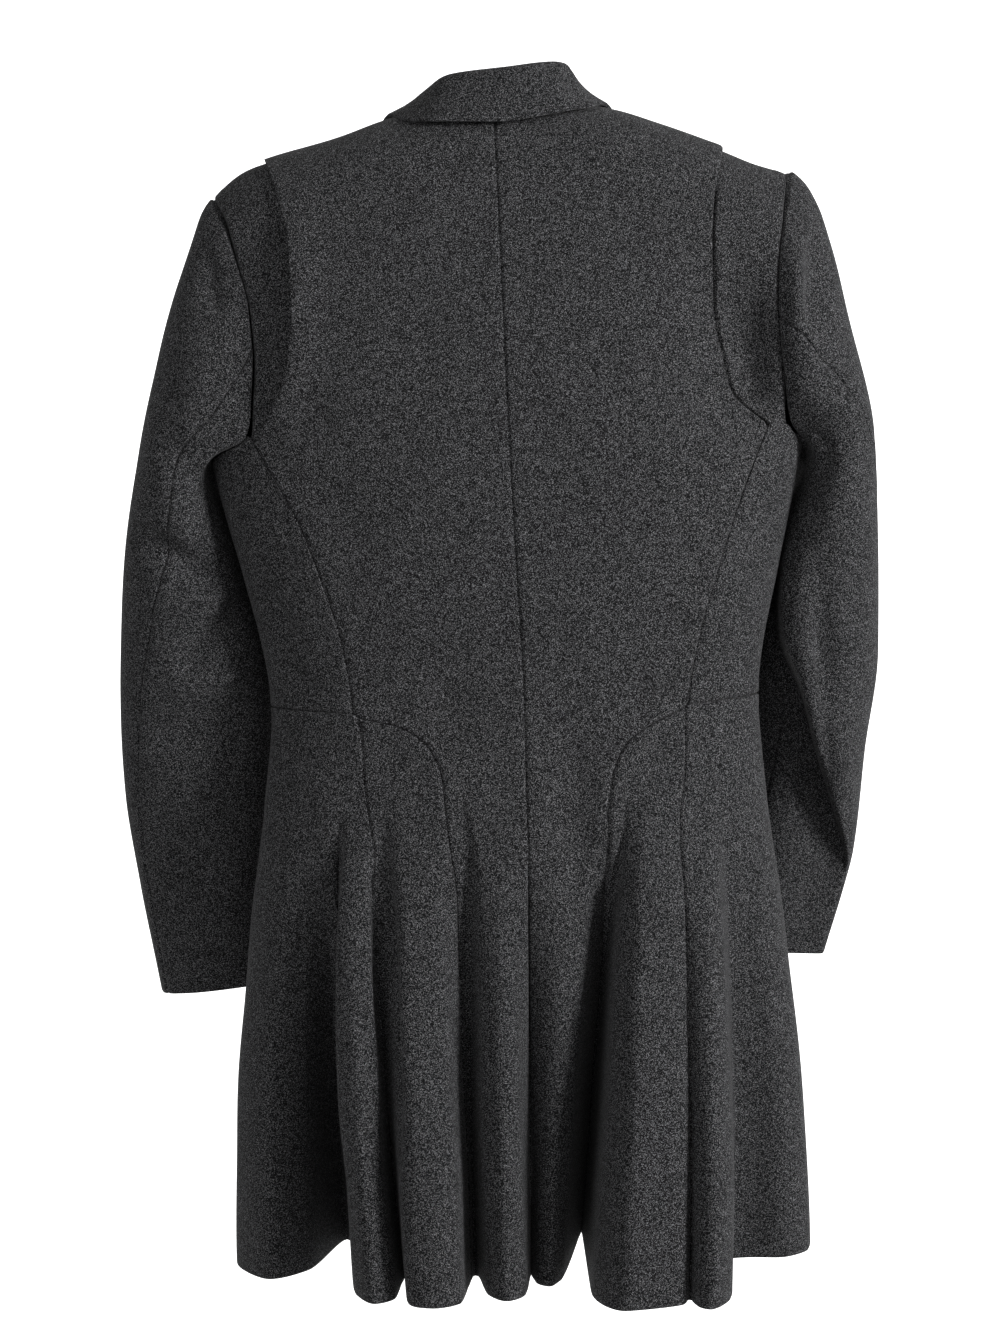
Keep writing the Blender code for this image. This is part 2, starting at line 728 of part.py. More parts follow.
UPPER_ROWS = [0.0, 0.005, 0.022, 0.05, 0.09, 0.15, 0.24, 0.36, 0.52, 0.7, 0.83, 0.93]
PRINCESS_ROWS = [1.0, 1.2, 1.4, 1.6, 1.8]
SKIRT_SHARES = np.array([0.0, 0.03, 0.07, 0.12, 0.18, 0.25, 0.33, 0.42, 0.52, 0.62, 0.72, 0.82, 0.91, 1.0])


def make_bodice(side):
    back_columns = 14 if side == LEFT else 12
    back_rows = UPPER_ROWS + PRINCESS_ROWS + list(2 + SKIRT_SHARES)
    make_panel(name_of("back", side), back_panel(side), even(back_columns), back_rows, ridge=True)
    make_panel(name_of("side", side), side_panel(side), even(10), np.array(PRINCESS_ROWS + [2.0]) - 1)
    front = front_panel(side)
    front = with_tuck(front) if side == LEFT else front
    make_panel(name_of("front", side), front, closer(11), UPPER_ROWS + PRINCESS_ROWS + [2.0], ridge=True)
    make_panel(name_of("shoulder_under", side), under_panel(side), even(4), under_rows(), UNDER_DROP)


def under_rows():
    """Row places of the under layer, level with the sleeve's columns along the armhole."""
    columns = np.concatenate([column_turns(base) for base in SLEEVE_PIECES]) % 360
    columns = np.unique(np.round(np.where(columns > 180, columns - 360, columns), 6))
    shares = -np.sign(columns) * arm_share(columns) / UNDER_SHARE
    return np.unique(np.concatenate([[-1.0], shares[np.abs(shares) < 0.97], [0.0, 1.0]]))


def column_turns(base):
    """Turns of a sleeve piece's columns at the armhole."""
    first, last, wrap, columns = SLEEVE_PIECES[base]
    low = smooth_line(first, 1, 0.0)
    return low + (smooth_line(last, 1, 0.0) + wrap - low) * even(columns)


def skirt_rows(side):
    """Heights of the skirt's rows, the same on both sides of each seam."""
    return smooth_line(PRINCESS, column_for(side, 2, 4), 1.0) + skirt_fall(SKIRT_SHARES)


def row_panel(first, last):
    """Skirt surface with t as a height, between two seams given as station numbers by height."""
    def place(q, t):
        u = first(t) + (last(t) - first(t)) * q
        back = smooth_line(STATIONS, 1, first(t) + 0 * q)
        front = smooth_line(STATIONS, 1, last(t) + 0 * q)
        level = waist_down(back) * (1 - q) + waist_down(front) * q
        lift = waist_down(smooth_line(STATIONS, 1, u)) - level
        return fluted(u, t + lift * (1 - ease(WAIST_MEETS, WAIST_MEETS + LIFT_FADES, t)))

    return place


def front_edge_station(side):
    """Station number of a front's free edge, past the middle."""
    x = -side * FRONT_EDGE
    return float(station_at(round_turn(x, True)))


def make_skirt(side):
    rows = skirt_rows(side)

    def tail(down):
        return tail_station(side, down)

    def seam(down):
        return skirt_seam_station(side, down)

    def fixed(value):
        return lambda down: value + 0 * down

    make_panel(name_of("skirt_back", side), row_panel(tail, seam), even(12), rows[1:])
    short = rows[[0, 2, 4, 5, 6, 7, 8, 9, 10, 11, 12, 13]]
    front = fixed(float(SIDE_FRONT[side]))
    make_panel(name_of("skirt_side", side), row_panel(seam, front), even(26), rows)
    edge = fixed(front_edge_station(side))
    panel = row_panel(front, edge)
    panel = with_tuck(panel) if side == LEFT else panel
    make_panel(name_of("skirt_front", side), panel, even(12), short)


SIDE_FRONT = {RIGHT: station("front_p", 4), LEFT: station("front_flat", 4) + 4}


def arm_share(turn):
    """Share of the armhole's height at a turn round the sleeve."""
    return 0.5 * (1 - np.cos(np.radians(turn)))


def armhole(side, turn):
    """Armhole point at a turn round the sleeve: 0 at the shoulder, 90 at the back, 180 at the underarm."""
    share = arm_share(turn)
    front = turn > 180
    body_turn = armhole_turn(side, share, front)
    return body(side * body_turn, armhole_down(side, share, front)), share, side * body_turn


def sleeve(side):
    """Outer surface of a sleeve: q is the turn round it, t the ring number."""
    rings = SLEEVE_LEFT if side == LEFT else SLEEVE_RIGHT
    table = np.column_stack([np.arange(len(rings)), rings])

    def oval(turn, t):
        angle = np.radians(turn)
        reach = np.sign(np.cos(angle)) * np.abs(np.cos(angle)) ** SLEEVE_ROUND
        depth = np.sign(np.sin(angle)) * np.abs(np.sin(angle)) ** SLEEVE_ROUND
        value = [smooth_line(table, column, t) for column in range(1, 8)]
        x = 0.5 * (value[0] + value[2]) + 0.5 * (value[0] - value[2]) * reach
        down = 0.5 * (value[1] + value[3]) + 0.5 * (value[1] - value[3]) * reach
        half = np.where(depth > 0, value[5], value[6])
        return np.stack([side * x, value[4] - half * depth, -down], axis=-1)

    def place(turn, t):
        points = oval(turn, t)
        fade = (1 - ease(0.0, 3.0, t))[..., None]
        ring, share, body_turn = armhole(side, turn)
        level = UNDER_DROP * (1 - ease(0.72, 0.92, share))
        ring = ring - body_away(body_turn, -ring[..., 2]) * level[..., None]
        ring[..., 0] += side * SEAM_GAP
        points = points + fade * (ring - oval(turn, 0 * t))
        if side == RIGHT:
            points[..., 1] += overhang(turn, t)
        return points

    return place


def overhang(turn, t):
    """Forward step below the right sleeve's diagonal fold."""
    share = (FOLD_TURNS[0] - turn) / (FOLD_TURNS[0] - FOLD_TURNS[1])
    line = FOLD_RINGS[0] + (FOLD_RINGS[1] - FOLD_RINGS[0]) * share
    below = (t - line) / FOLD_SHARP
    step = 1 / (1 + np.exp(-np.clip(below, -40, 40)))
    back = ease(0.0, 30.0, turn) * (1 - ease(150.0, 190.0, turn))
    return FOLD_DEPTH * step * np.exp(-np.clip(t - line, 0, 9) / FOLD_FADE) * back


def make_sleeve(side):
    surface = sleeve(side)
    rings = np.array([0.0, 0.35, 0.75, 1.2, 1.8, 2.5, 3.2, 3.9, 4.5, 5.1, 5.7, 6.3, 7.1, 8.0])
    for base, (first, last, wrap, columns) in SLEEVE_PIECES.items():
        def place(q, t, first=first, last=last, wrap=wrap):
            low = smooth_line(first, 1, t)
            high = smooth_line(last, 1, t) + wrap
            return surface((low + (high - low) * q) % 360, t)

        points, away = sample(place, even(columns), rings, (side * 230, 40, -300))
        away = settle_top(side, points, away, SLEEVE_PIECES[base], rings)
        outer = trim(points, away)
        make_wall(name_of(base, side), outer, outer - away * CLOTH)


def settle_top(side, points, away, piece, rings):
    """Outward directions that agree with the body's at the armhole seam."""
    first, last, wrap, columns = piece
    across = even(columns)
    mixed = away.copy()
    for j, t in enumerate(rings):
        low = smooth_line(first, 1, t)
        turn = (low + (smooth_line(last, 1, t) + wrap - low) * across) % 360
        _, share, body_turn = armhole(side, turn)
        down = -points[j, :, 2]
        flat = body_away(body_turn, np.minimum(down, ARM_LOW))
        weight = (1 - ease(0.0, 1.6, t)) * (1 - ease(0.62, 0.9, share))
        mixed[j] = away[j] * (1 - weight[:, None]) + flat * weight[:, None]
    return mixed / np.linalg.norm(mixed, axis=-1, keepdims=True)


def body_away(turn, down):
    """Outward direction of the body's surface."""
    down = np.maximum(down, shoulder_down(body(turn, down)[..., 0]) + 0.05)
    run = body(turn + 0.004, down) - body(turn - 0.004, down)
    fall = body(turn, down + 0.02) - body(turn, down - 0.02)
    return outward(run, fall)


def lapel_panel(side):
    """Lapel lying on the front; q runs from the fold line to the edge, t from the gorge to the break."""
    def place(q, t):
        edge_x = smooth_line(LAPEL, 1, t)
        edge_down = smooth_line(LAPEL, 2, t)
        inner_down = GORGE_DOWN + (BREAK_DOWN - LAPEL_SHORT - GORGE_DOWN) * t
        inner_x = side * roll_line(side, inner_down) + LAPEL_CLEAR
        if side == LEFT:
            cross = roll_line(RIGHT, inner_down)
            inner_x = np.maximum(inner_x, -cross + UNDER_CLEAR)
        x = inner_x + (edge_x - inner_x) * q
        down = inner_down + (edge_down - inner_down) * q
        return body(turn_of(side * x, down, True), down)

    return place


def make_lapel(side):
    rows = np.linspace(0.0, LAPEL_ROWS[side], 11)
    panel = lapel_panel(side)
    panel = with_tuck(panel) if side == LEFT else panel
    points, away = sample(panel, even(7), rows, (0, 0, 0))
    outer = points + away * (LAPEL_LIFT[side] + CLOTH)
    make_wall(name_of("lapel", side), outer, outer - away * CLOTH)


def collar_section(place):
    """Stand foot, roll and leaf edge of the collar at a place round the neck."""
    value = [smooth_line(COLLAR, column, place) for column in range(1, 10)]
    return [np.stack(value[i:i + 3], axis=-1) for i in (0, 3, 6)]


def collar_panel(q, t):
    """Folded collar: q runs round the neck, t from the stand's foot over the roll to the leaf's edge."""
    foot, roll, edge = collar_section(q)
    fall = edge - roll
    flat = fall * np.array([1.0, 1.0, 0.0])
    flat = flat / np.maximum(np.linalg.norm(flat, axis=-1, keepdims=True), 1e-6)
    inside = roll - flat * ROLL_WIDTH / 2 - np.array([0, 0, 3.0])
    outside = roll + flat * ROLL_WIDTH / 2 - np.array([0, 0, 3.0])
    stops = [foot, inside, roll, outside, edge]
    places = np.array([0.0, 0.34, 0.43, 0.52, 1.0])
    result = np.zeros(q.shape + (3,))
    weights = np.array([[1.0 if i == k else 0.0 for k in range(5)] for i in range(5)])
    for k in range(5):
        table = np.column_stack([places, weights[:, k]])
        result += smooth_line(table, 1, t)[..., None] * stops[k]
    return result


def make_collar():
    rows = [0.0, 0.17, 0.3, 0.37, 0.43, 0.49, 0.56, 0.7, 0.85, 1.0]
    q, t = np.meshgrid(np.linspace(-1, 1, 27), rows)
    step = 0.002
    run = collar_panel(np.clip(q + step, -1, 1), t) - collar_panel(np.clip(q - step, -1, 1), t)
    fall = collar_panel(q, np.clip(t + step, 0, 1)) - collar_panel(q, np.clip(t - step, 0, 1))
    away = outward(run, fall)
    points = collar_panel(q, t)
    if away[rows.index(0.43), 13, 2] < 0:
        away = -away
    make_wall("collar", points, points - away * COLLAR_CLOTH)


def make_button(number, x, down, sunk):
    """Turned button on the over front, facing out along the cloth."""
    turn = turn_of(np.float64(x), np.float64(down), True)
    seat = body(turn, np.float64(down))
    axis = body_away(np.array([float(turn)]), np.array([float(down)]))[0]
    seat = seat - axis * sunk
    across = np.cross(np.array([0, 0, 1.0]), axis)
    across /= np.linalg.norm(across)
    up = np.cross(axis, across)
    points = []
    faces = []
    rings = BUTTON_PROFILE[1:-1]
    for radius, height in rings:
        for k in range(BUTTON_SIDES):
            angle = 2 * math.pi * k / BUTTON_SIDES
            spoke = across * math.cos(angle) + up * math.sin(angle)
            points.append(seat + axis * height + spoke * radius)
    for j in range(len(rings) - 1):
        for k in range(BUTTON_SIDES):
            n = (k + 1) % BUTTON_SIDES
            low = j * BUTTON_SIDES
            high = low + BUTTON_SIDES
            faces.append((low + k, low + n, high + n, high + k))
    points.append(seat + axis * BUTTON_PROFILE[0][1])
    points.append(seat + axis * BUTTON_PROFILE[-1][1])
    top = (len(rings) - 1) * BUTTON_SIDES
    for k in range(BUTTON_SIDES):
        n = (k + 1) % BUTTON_SIDES
        faces.append((k, n, len(points) - 2))
        faces.append((top + k, top + n, len(points) - 1))
    make_object("button_%d" % number, points, faces, HORN)


def main():
    for old in list(bpy.data.objects):
        bpy.data.objects.remove(old, do_unlink=True)
    for side in (LEFT, RIGHT):
        make_bodice(side)
        make_skirt(side)
        make_sleeve(side)
        make_lapel(side)
    make_collar()
    number = 0
    for x in BUTTON_ACROSS:
        for down, sunk in BUTTON_ROWS:
            number += 1
            make_button(number, x, down, sunk)


main()
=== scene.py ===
"""Looks of the double-breasted coat: fine wool sheets on the coat's own surfaces, buttons, sewing and light.

The tables repeat the coat's construction in millimetres. "Down" is measured below the neck point, the back
that the photograph shows faces -Y, and the coat's left side in that view is at -X.
"""
import math

import bpy
import numpy as np
from mathutils import Matrix


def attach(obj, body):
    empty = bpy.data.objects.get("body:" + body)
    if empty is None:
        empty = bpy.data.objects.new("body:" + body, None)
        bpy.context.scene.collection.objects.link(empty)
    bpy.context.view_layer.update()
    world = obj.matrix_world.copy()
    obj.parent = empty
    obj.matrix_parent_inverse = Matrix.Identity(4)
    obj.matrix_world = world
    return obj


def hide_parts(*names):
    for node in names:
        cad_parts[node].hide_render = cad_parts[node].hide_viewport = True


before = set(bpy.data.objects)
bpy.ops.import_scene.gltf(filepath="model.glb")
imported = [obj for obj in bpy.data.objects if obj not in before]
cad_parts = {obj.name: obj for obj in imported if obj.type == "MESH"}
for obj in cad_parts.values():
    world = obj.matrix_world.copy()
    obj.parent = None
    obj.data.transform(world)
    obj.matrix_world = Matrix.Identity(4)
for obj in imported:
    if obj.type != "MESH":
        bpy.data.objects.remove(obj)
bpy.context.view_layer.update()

MM = 0.001
LEFT = -1
RIGHT = 1

# Cloth: thickness of the coat's and the collar's, gap at the sleeve seam, drop of the layer under the free
# edge and how far it reaches below that edge
CLOTH = 2.0
COLLAR_CLOTH = 2.2
SEAM_GAP = 0.3
UNDER_DROP = CLOTH + 1.2
UNDER_TUCK = 14.0

# Down: hem, waist seam at the middle, its rise at the sides, where panels meet at it, where the rise fades
HEM_DOWN = 831.0
WAIST_DOWN = 432.5
WAIST_RISE = 9.5
WAIST_MEETS = 429.1
LIFT_FADES = 45.0

# Squareness of the body's sections, and height over which the shoulders round off
SQUARE = 2.5
SHOULDER_ROUND = 48.0

# Body sections: down, left half width, right half width, back depth, front depth
BODY = np.array([
    (-20, 226.0, 226.0, 46, 46),
    (60, 227.5, 227.5, 56, 58),
    (150, 222.0, 222.0, 71, 79),
    (245, 211.8, 211.8, 76, 90),
    (330, 191.5, 193.0, 72, 90),
    (428, 174.5, 174.5, 64, 78),
    (500, 182.0, 180.0, 70, 86),
    (615, 192.0, 184.5, 80, 98),
    (730, 203.0, 196.0, 88, 108),
    (850, 218.0, 211.0, 92, 116),
], float)

# Shoulder line: across, down on the left, down on the right
SHOULDER = np.array([
    (-40, -11.0, -12.0),
    (0, -11.0, -12.0),
    (40, -6.0, -7.5),
    (84, 6.2, 2.3),
    (110, 14.4, 11.2),
    (136, 21.6, 20.0),
    (163, 28.6, 28.6),
    (182, 35.2, 35.2),
    (207, 55.5, 43.2),
    (240, 105.0, 85.0),
], float)

# Neckline of the back: half width, drop and curve
NECK_HALF = 68.0
NECK_DROP = 19.5
NECK_CURVE = 1.2

# Centre-back seam: down, across
CENTRE = np.array([
    (0, -3.0),
    (112, -1.0),
    (217, 0.6),
    (340, 3.9),
    (416, 6.3),
    (540, 5.0),
    (831, 0.0),
], float)

# Free edge of the back panel at the armhole: share, left across, left down, right across, right down
FREE_EDGE = np.array([
    (0.00, 168.0, 29.6, 161.2, 26.9),
    (0.15, 154.2, 67.5, 149.5, 75.7),
    (0.35, 145.8, 110.8, 146.3, 113.8),
    (0.50, 144.5, 149.6, 146.2, 149.8),
    (0.70, 147.5, 183.5, 151.3, 185.3),
    (0.85, 158.8, 214.8, 157.6, 211.5),
    (1.00, 176.3, 239.1, 183.0, 236.0),
], float)

# Princess seam: share, left across, left down, right across, right down
PRINCESS = np.array([
    (0.00, 176.3, 239.1, 183.0, 236.0),
    (0.35, 144.5, 301.0, 160.5, 290.0),
    (0.55, 130.4, 339.4, 143.8, 337.1),
    (0.75, 119.1, 377.6, 130.9, 378.0),
    (0.92, 113.4, 412.2, 123.2, 412.2),
    (1.00, 112.3, 429.1, 120.6, 429.1),
], float)

# Rounded tail seam under the waist: down, left across, right across
TAIL = np.array([
    (428.0, 113.0, 121.5),
    (432.0, 107.0, 116.0),
    (439.2, 79.6, 99.5),
    (455.0, 59.3, 75.8),
    (476.0, 51.5, 66.0),
    (510.0, 49.5, 62.0),
    (850.0, 49.5, 62.0),
], float)

# Back skirt seam: down, left across, right across
SKIRT_SEAM = np.array([
    (425.0, 117.0, 125.0),
    (429.1, 112.3, 120.6),
    (431.2, 109.8, 118.8),
    (445.0, 106.8, 118.0),
    (475.0, 105.7, 116.5),
    (503.0, 103.0, 112.5),
    (545.0, 98.0, 110.0),
    (850.0, 98.0, 110.0),
], float)

# Down where the skirt seams and the turns settle on the flutes, and spread of the rows below the waist
SEAM_SETTLES = (500.0, 570.0)
TURN_SETTLES = (436.0, 540.0)
FALL_EVEN = 0.16
FALL_POWER = 2.2

# Armhole: share, left across, left down, right across, right down, front across, front down
ARMHOLE = np.array([
    (0.00, 207.0, 60.3, 208.0, 49.8, 0.0, 0.0),
    (0.15, 191.0, 96.5, 199.0, 84.0, 190.0, 92.0),
    (0.35, 178.0, 147.0, 191.5, 131.0, 178.0, 140.0),
    (0.50, 176.0, 173.0, 191.7, 176.0, 175.0, 174.0),
    (0.70, 178.0, 210.0, 194.6, 212.0, 178.0, 211.0),
    (0.85, 182.0, 234.0, 199.5, 235.0, 186.0, 234.0),
    (1.00, 211.0, 249.0, 211.0, 249.5, 0.0, 0.0),
], float)

# Shares of the armhole where the front's line leaves the back's at the shoulder and meets it at the underarm
SHOULDER_JOINS = (0.0, 0.15)
UNDERARM_JOINS = (0.85, 1.0)

# Skirt flutes in order round the hem, from the centre back to the right, the front and the left:
# name, start down, waist across at the crest, then hem places (across, toward the front) of the near edge,
# crest and far edge, then the valley after it: waist across, hem across, hem toward the front
FLUTES = [
    ("back_i", 512, 31, 3.5, -44, 12.5, -52, 21, -38, 62, 39.5, 84),
    ("back_k", 475, 88, 40, -68, 62, -112, 101, -102, 110, 106, -93),
    ("back_m", 492, 124, 110.5, -108, 119, -114, 134.5, -93, 140, 145, 2),
    ("back_o", 490, 158, 160, 4, 180, 2, 203, 20, 174, 207, 44),
    ("front_p", 500, 150, 200, 66, 187, 88, 167, 97, 124, 147, 88),
    ("front_q", 500, 100, 132, 107, 113, 122, 95, 121, 80, 84, 114),
    ("front_flat", 500, 0, 58, 118, 0, 121, -58, 118, -80, -84, 114),
    ("front_r", 500, -100, -95, 121, -113, 122, -132, 107, -124, -147, 88),
    ("front_s", 500, -150, -167, 97, -187, 88, -202, 68, -174, -214, 46),
    ("back_a", 490, -150, -215, 26, -186, -16, -160, 4, -117, -138, 82),
    ("back_c", 500, -107, -122, -58, -107.5, -80, -94, -69, -98, -89.5, -22),
    ("back_e", 480, -71, -85, -77, -66, -95, -48, -85, -34, -39.5, -22),
    ("back_g", 515, -13, -31, -67, -17.5, -83, -4.5, -70, 6, -0.3, -22),
]

# First and last flute of the front, turn of the side valleys, place of a flank from valley to crest
FIRST_FRONT = 4
LAST_FRONT = 8
SIDE_VALLEY_TURN = 90.0
FLANK = 0.55

# Growth of a flute: share of its height, share of its size
GROWTH = np.array([
    (-0.2, 0.0),
    (0.0, 0.0),
    (0.08, 0.055),
    (0.3, 0.31),
    (0.6, 0.64),
    (1.0, 1.0),
    (1.1, 1.1),
], float)

# Side bodies: room below the armhole, how fast their top sags from its ends, where the sag fades
ARM_CLEAR = 1.3
SIDE_SAG = 18.0
SAG_FADES = (0.0, 0.5)

# Layer under the free edge: extra length, where it comes in, share of the armhole, end of the shoulder ridge
UNDER_REACH = 7.0
REACH_FROM = (0.8, 1.0)
UNDER_SHARE = 0.86
RIDGE_ENDS = (0.02, 0.3)

# Fronts: the right one lies over the left one
FRONT_EDGE = 70.0
FRONT_TUCK = CLOTH + 0.95
TUCK_FROM = -104.0
TUCK_TO = -80.0
BREAK_DOWN = 246.0
ROLL_TOP = 66.0

# Lapels: share, edge across, edge down (the tip is the first row, the break point the last one)
LAPEL = np.array([
    (0.00, 136.0, 74.0),
    (0.25, 121.0, 118.0),
    (0.50, 84.0, 166.0),
    (0.75, 24.0, 208.0),
    (1.00, -62.0, 241.0),
], float)

# Lapels lying on the fronts: lift, shortfall at the break, room at the fold line and where the under one is
# crossed, share of the rows that each shows, down of the gorge
LAPEL_LIFT = {LEFT: 1.4, RIGHT: 1.3}
LAPEL_SHORT = 3.0
LAPEL_CLEAR = 1.5
UNDER_CLEAR = 9.0
LAPEL_ROWS = {LEFT: 0.64, RIGHT: 0.93}
GORGE_DOWN = 26.0

# Collar, from the left front end round the neck to the right one:
# place, stand foot (x, y, z), roll (x, y, z), leaf edge (x, y, z)
COLLAR = np.array([
    (-1.00, -54, 43, -16, -58, 50, -11, -102, 66, -54),
    (-0.84, -59, 23, -5, -55, 28, 3, -95, 44, -27),
    (-0.66, -65.5, 2, 1.0, -55, 2, 11.0, -80, -2, -0.5),
    (-0.50, -57, -17, -2.5, -45.5, -17, 16.5, -64, -38, -14),
    (-0.33, -38, -31, -5.5, -33, -33, 19.5, -41, -52, -18.5),
    (0.00, 0, -38, -6.5, 5, -43, 21.0, 0, -55, -20.5),
    (0.33, 36.5, -29.5, -4.0, 40, -33, 26.0, 44, -52, -14.5),
    (0.42, 46.0, -23, -2.0, 48.5, -25, 27.0, 55, -45, -11),
    (0.50, 54.5, -16, 0.0, 52.5, -17, 23.5, 66, -37, -7.5),
    (0.66, 65.3, 2, 3.3, 56, 2, 17.5, 81, -2, 3.0),
    (0.84, 59, 23, -3, 56, 28, 6, 96, 44, -24),
    (1.00, 54, 43, -16, 58, 50, -11, 102, 66, -52),
], float)

# Collar roll: width, drop of its sides, then the places of foot, inside, roll, outside and edge
ROLL_WIDTH = 9.0
ROLL_DROP = 3.0
COLLAR_STOPS = (0.0, 0.34, 0.43, 0.52, 1.0)

# Sleeve rings: outer across, outer down, inner across, inner down, toward the front, back half, front half
SLEEVE_LEFT = np.array([
    (207.5, 60, 211.0, 248, 0, 46, 46),
    (222.0, 88, 214.0, 252, 1, 52, 50),
    (243.5, 150, 214.5, 260, 4, 56, 53),
    (264.5, 236, 210.5, 276, 10, 56, 54),
    (278.5, 300, 198.5, 318, 19, 52, 52),
    (289.0, 410, 175.0, 408, 38, 46, 46),
    (291.5, 485, 177.0, 482, 54, 42, 43),
    (284.5, 556, 188.0, 556, 71, 37, 39),
    (273.0, 638, 185.0, 632, 86, 33, 36),
], float)
SLEEVE_RIGHT = np.array([
    (208.0, 44, 211.0, 248, 0, 46, 46),
    (227.0, 69, 214.0, 252, 1, 52, 50),
    (246.0, 145, 214.5, 260, 4, 56, 53),
    (264.5, 240, 208.5, 278, 10, 56, 54),
    (267.0, 310, 196.0, 322, 20, 53, 52),
    (270.0, 395, 174.0, 402, 42, 50, 46),
    (261.5, 470, 174.0, 474, 66, 46, 42),
    (255.0, 545, 166.0, 546, 88, 39, 38),
    (233.0, 627, 148.0, 620, 107, 32, 34),
], float)

# Roundness of the rings, rings over which a sleeve leaves the armhole, shares where it rises to the side
SLEEVE_ROUND = 0.92
SLEEVE_LEAVES = (0.0, 3.0)
SLEEVE_LEVELS = (0.72, 0.92)

# Sleeve seams: ring, turn round the sleeve
BACK_SEAM = {
    LEFT: np.array([
        (0, 88), (1, 102), (1.8, 110), (3.06, 96),
        (4.06, 84), (4.5, 68), (5.1, 50), (8, 34),
    ], float),
    RIGHT: np.array([(0, 84), (1.4, 88), (2.3, 76), (2.9, 46), (3.5, 8), (4.4, -20), (8, -24)], float),
}
FRONT_SEAM = {
    LEFT: np.array([(0, 250), (3, 232), (8, 225)], float),
    RIGHT: np.array([(0, 250), (3, 232), (4.4, 196), (5.0, 142), (5.44, 118), (6.34, 130), (8, 150)], float),
}

# Overhanging fold across the right sleeve: turn, ring; then the step below it, the swell above it, its turns
# and how far the cloth slides over the step
FOLD_LINE = np.array([(0, 7.3), (20, 7.2), (38, 7.0), (82, 6.1), (108, 5.2), (142, 4.45), (178, 3.7)], float)
FOLD_DEPTH = 27.0
FOLD_SHARP = 0.045
FOLD_FADE = 2.6
FOLD_SWELL = 6.0
SWELL_RINGS = 0.4
FOLD_TURNS = (0.0, 80.0, 150.0, 190.0)
FOLD_OVERLAP = 9.0
OVERLAP_RINGS = 0.24
OVERLAP_TURNS = (14.0, 60.0, 140.0, 178.0)

# Buttons on the over front: down, seat below the smooth surface, where the wall's facets lie
BUTTON_ACROSS = (-46.0, 46.0)
BUTTON_ROWS = [(270.0, 0.1), (332.0, 0.5), (394.0, -0.58)]

# Tail seam: share of the skirt where it starts, stations past the left fold and short of the right valley
TAIL_START = 0.03
TAIL_HIDES = 0.7
TAIL_BESIDE = 0.1

# Small steps, in degrees and millimetres, for directions on the body
TURN_NUDGE = 0.004
DOWN_NUDGE = 0.02
RIDGE_CLEAR = 0.05


def smooth_line(rows, column, place):
    """Value of a table's column at a place, on a smooth line through its rows that never overshoots."""
    xs = rows[:, 0]
    ys = rows[:, column]
    step = np.diff(xs)
    slope = np.diff(ys) / step
    product = slope[:-1] * slope[1:]
    total = np.where(product > 0, slope[:-1] + slope[1:], 1.0)
    grade = np.concatenate([slope[:1], np.where(product > 0, 2 * product / total, 0.0), slope[-1:]])
    place = np.asarray(place, float)
    i = np.clip(np.searchsorted(xs, place) - 1, 0, len(step) - 1)
    t = (place - xs[i]) / step[i]
    flat = ys[i] * (1 - t) ** 2 * (1 + 2 * t) + ys[i + 1] * t ** 2 * (3 - 2 * t)
    return flat + step[i] * (grade[i] * t * (1 - t) ** 2 - grade[i + 1] * t ** 2 * (1 - t))


def ease(low, high, value):
    """Soft step from 0 at low to 1 at high."""
    t = np.clip((value - low) / (high - low), 0.0, 1.0)
    return t * t * (3 - 2 * t)


def window(place, ends):
    """Weight that rises between the first two places and falls between the last two."""
    return ease(*ends[:2], place) * (1 - ease(*ends[2:], place))


def half_width(x, down):
    """Half width of the body on the left or the right of the middle."""
    return np.where(x < 0, smooth_line(BODY, 1, down), smooth_line(BODY, 2, down))


def shoulder_down(x):
    left = smooth_line(SHOULDER, 1, np.abs(x))
    right = smooth_line(SHOULDER, 2, np.abs(x))
    return np.where(x < 0, left, right)


FREE_EDGE[0, 2] = float(shoulder_down(np.float64(-FREE_EDGE[0, 1])))
FREE_EDGE[0, 4] = float(shoulder_down(np.float64(FREE_EDGE[0, 3])))
ARMHOLE[0, 2] = float(shoulder_down(np.float64(-ARMHOLE[0, 1])))
ARMHOLE[0, 4] = float(shoulder_down(np.float64(ARMHOLE[0, 3])))


def body(turn, down):
    """Point of the body's outer surface: turn is 0 at the centre back, 90 at the right side."""
    angle = np.radians(turn)
    side = np.sin(angle)
    facing = np.cos(angle)
    x = half_width(side, down) * np.sign(side) * np.abs(side) ** (2 / SQUARE)
    depth = np.where(facing > 0, -smooth_line(BODY, 3, down), smooth_line(BODY, 4, down))
    fall = np.clip((down - shoulder_down(x)) / SHOULDER_ROUND, 0.0, 1.0)
    y = depth * np.abs(facing) ** (2 / SQUARE) * np.sqrt(1 - (1 - fall) ** 2)
    return np.stack([x, y, -down + 0 * x], axis=-1)


def turn_of(x, down, front=False):
    """Turn of the body's surface at a place across, on the back or the front."""
    share = np.clip(np.abs(x) / half_width(x, down), 0.0, 1.0)
    turn = np.degrees(np.arcsin(share ** (SQUARE / 2)))
    turn = np.where(front, 180 - turn, turn)
    return np.sign(x) * turn


def round_turn(x, front):
    """Turn of a flute's waist place, counted from 0 at the centre back to 360."""
    turn = float(turn_of(np.float64(x), np.float64(WAIST_DOWN), front))
    if front and x == 0:
        turn = 180.0
    return turn % 360


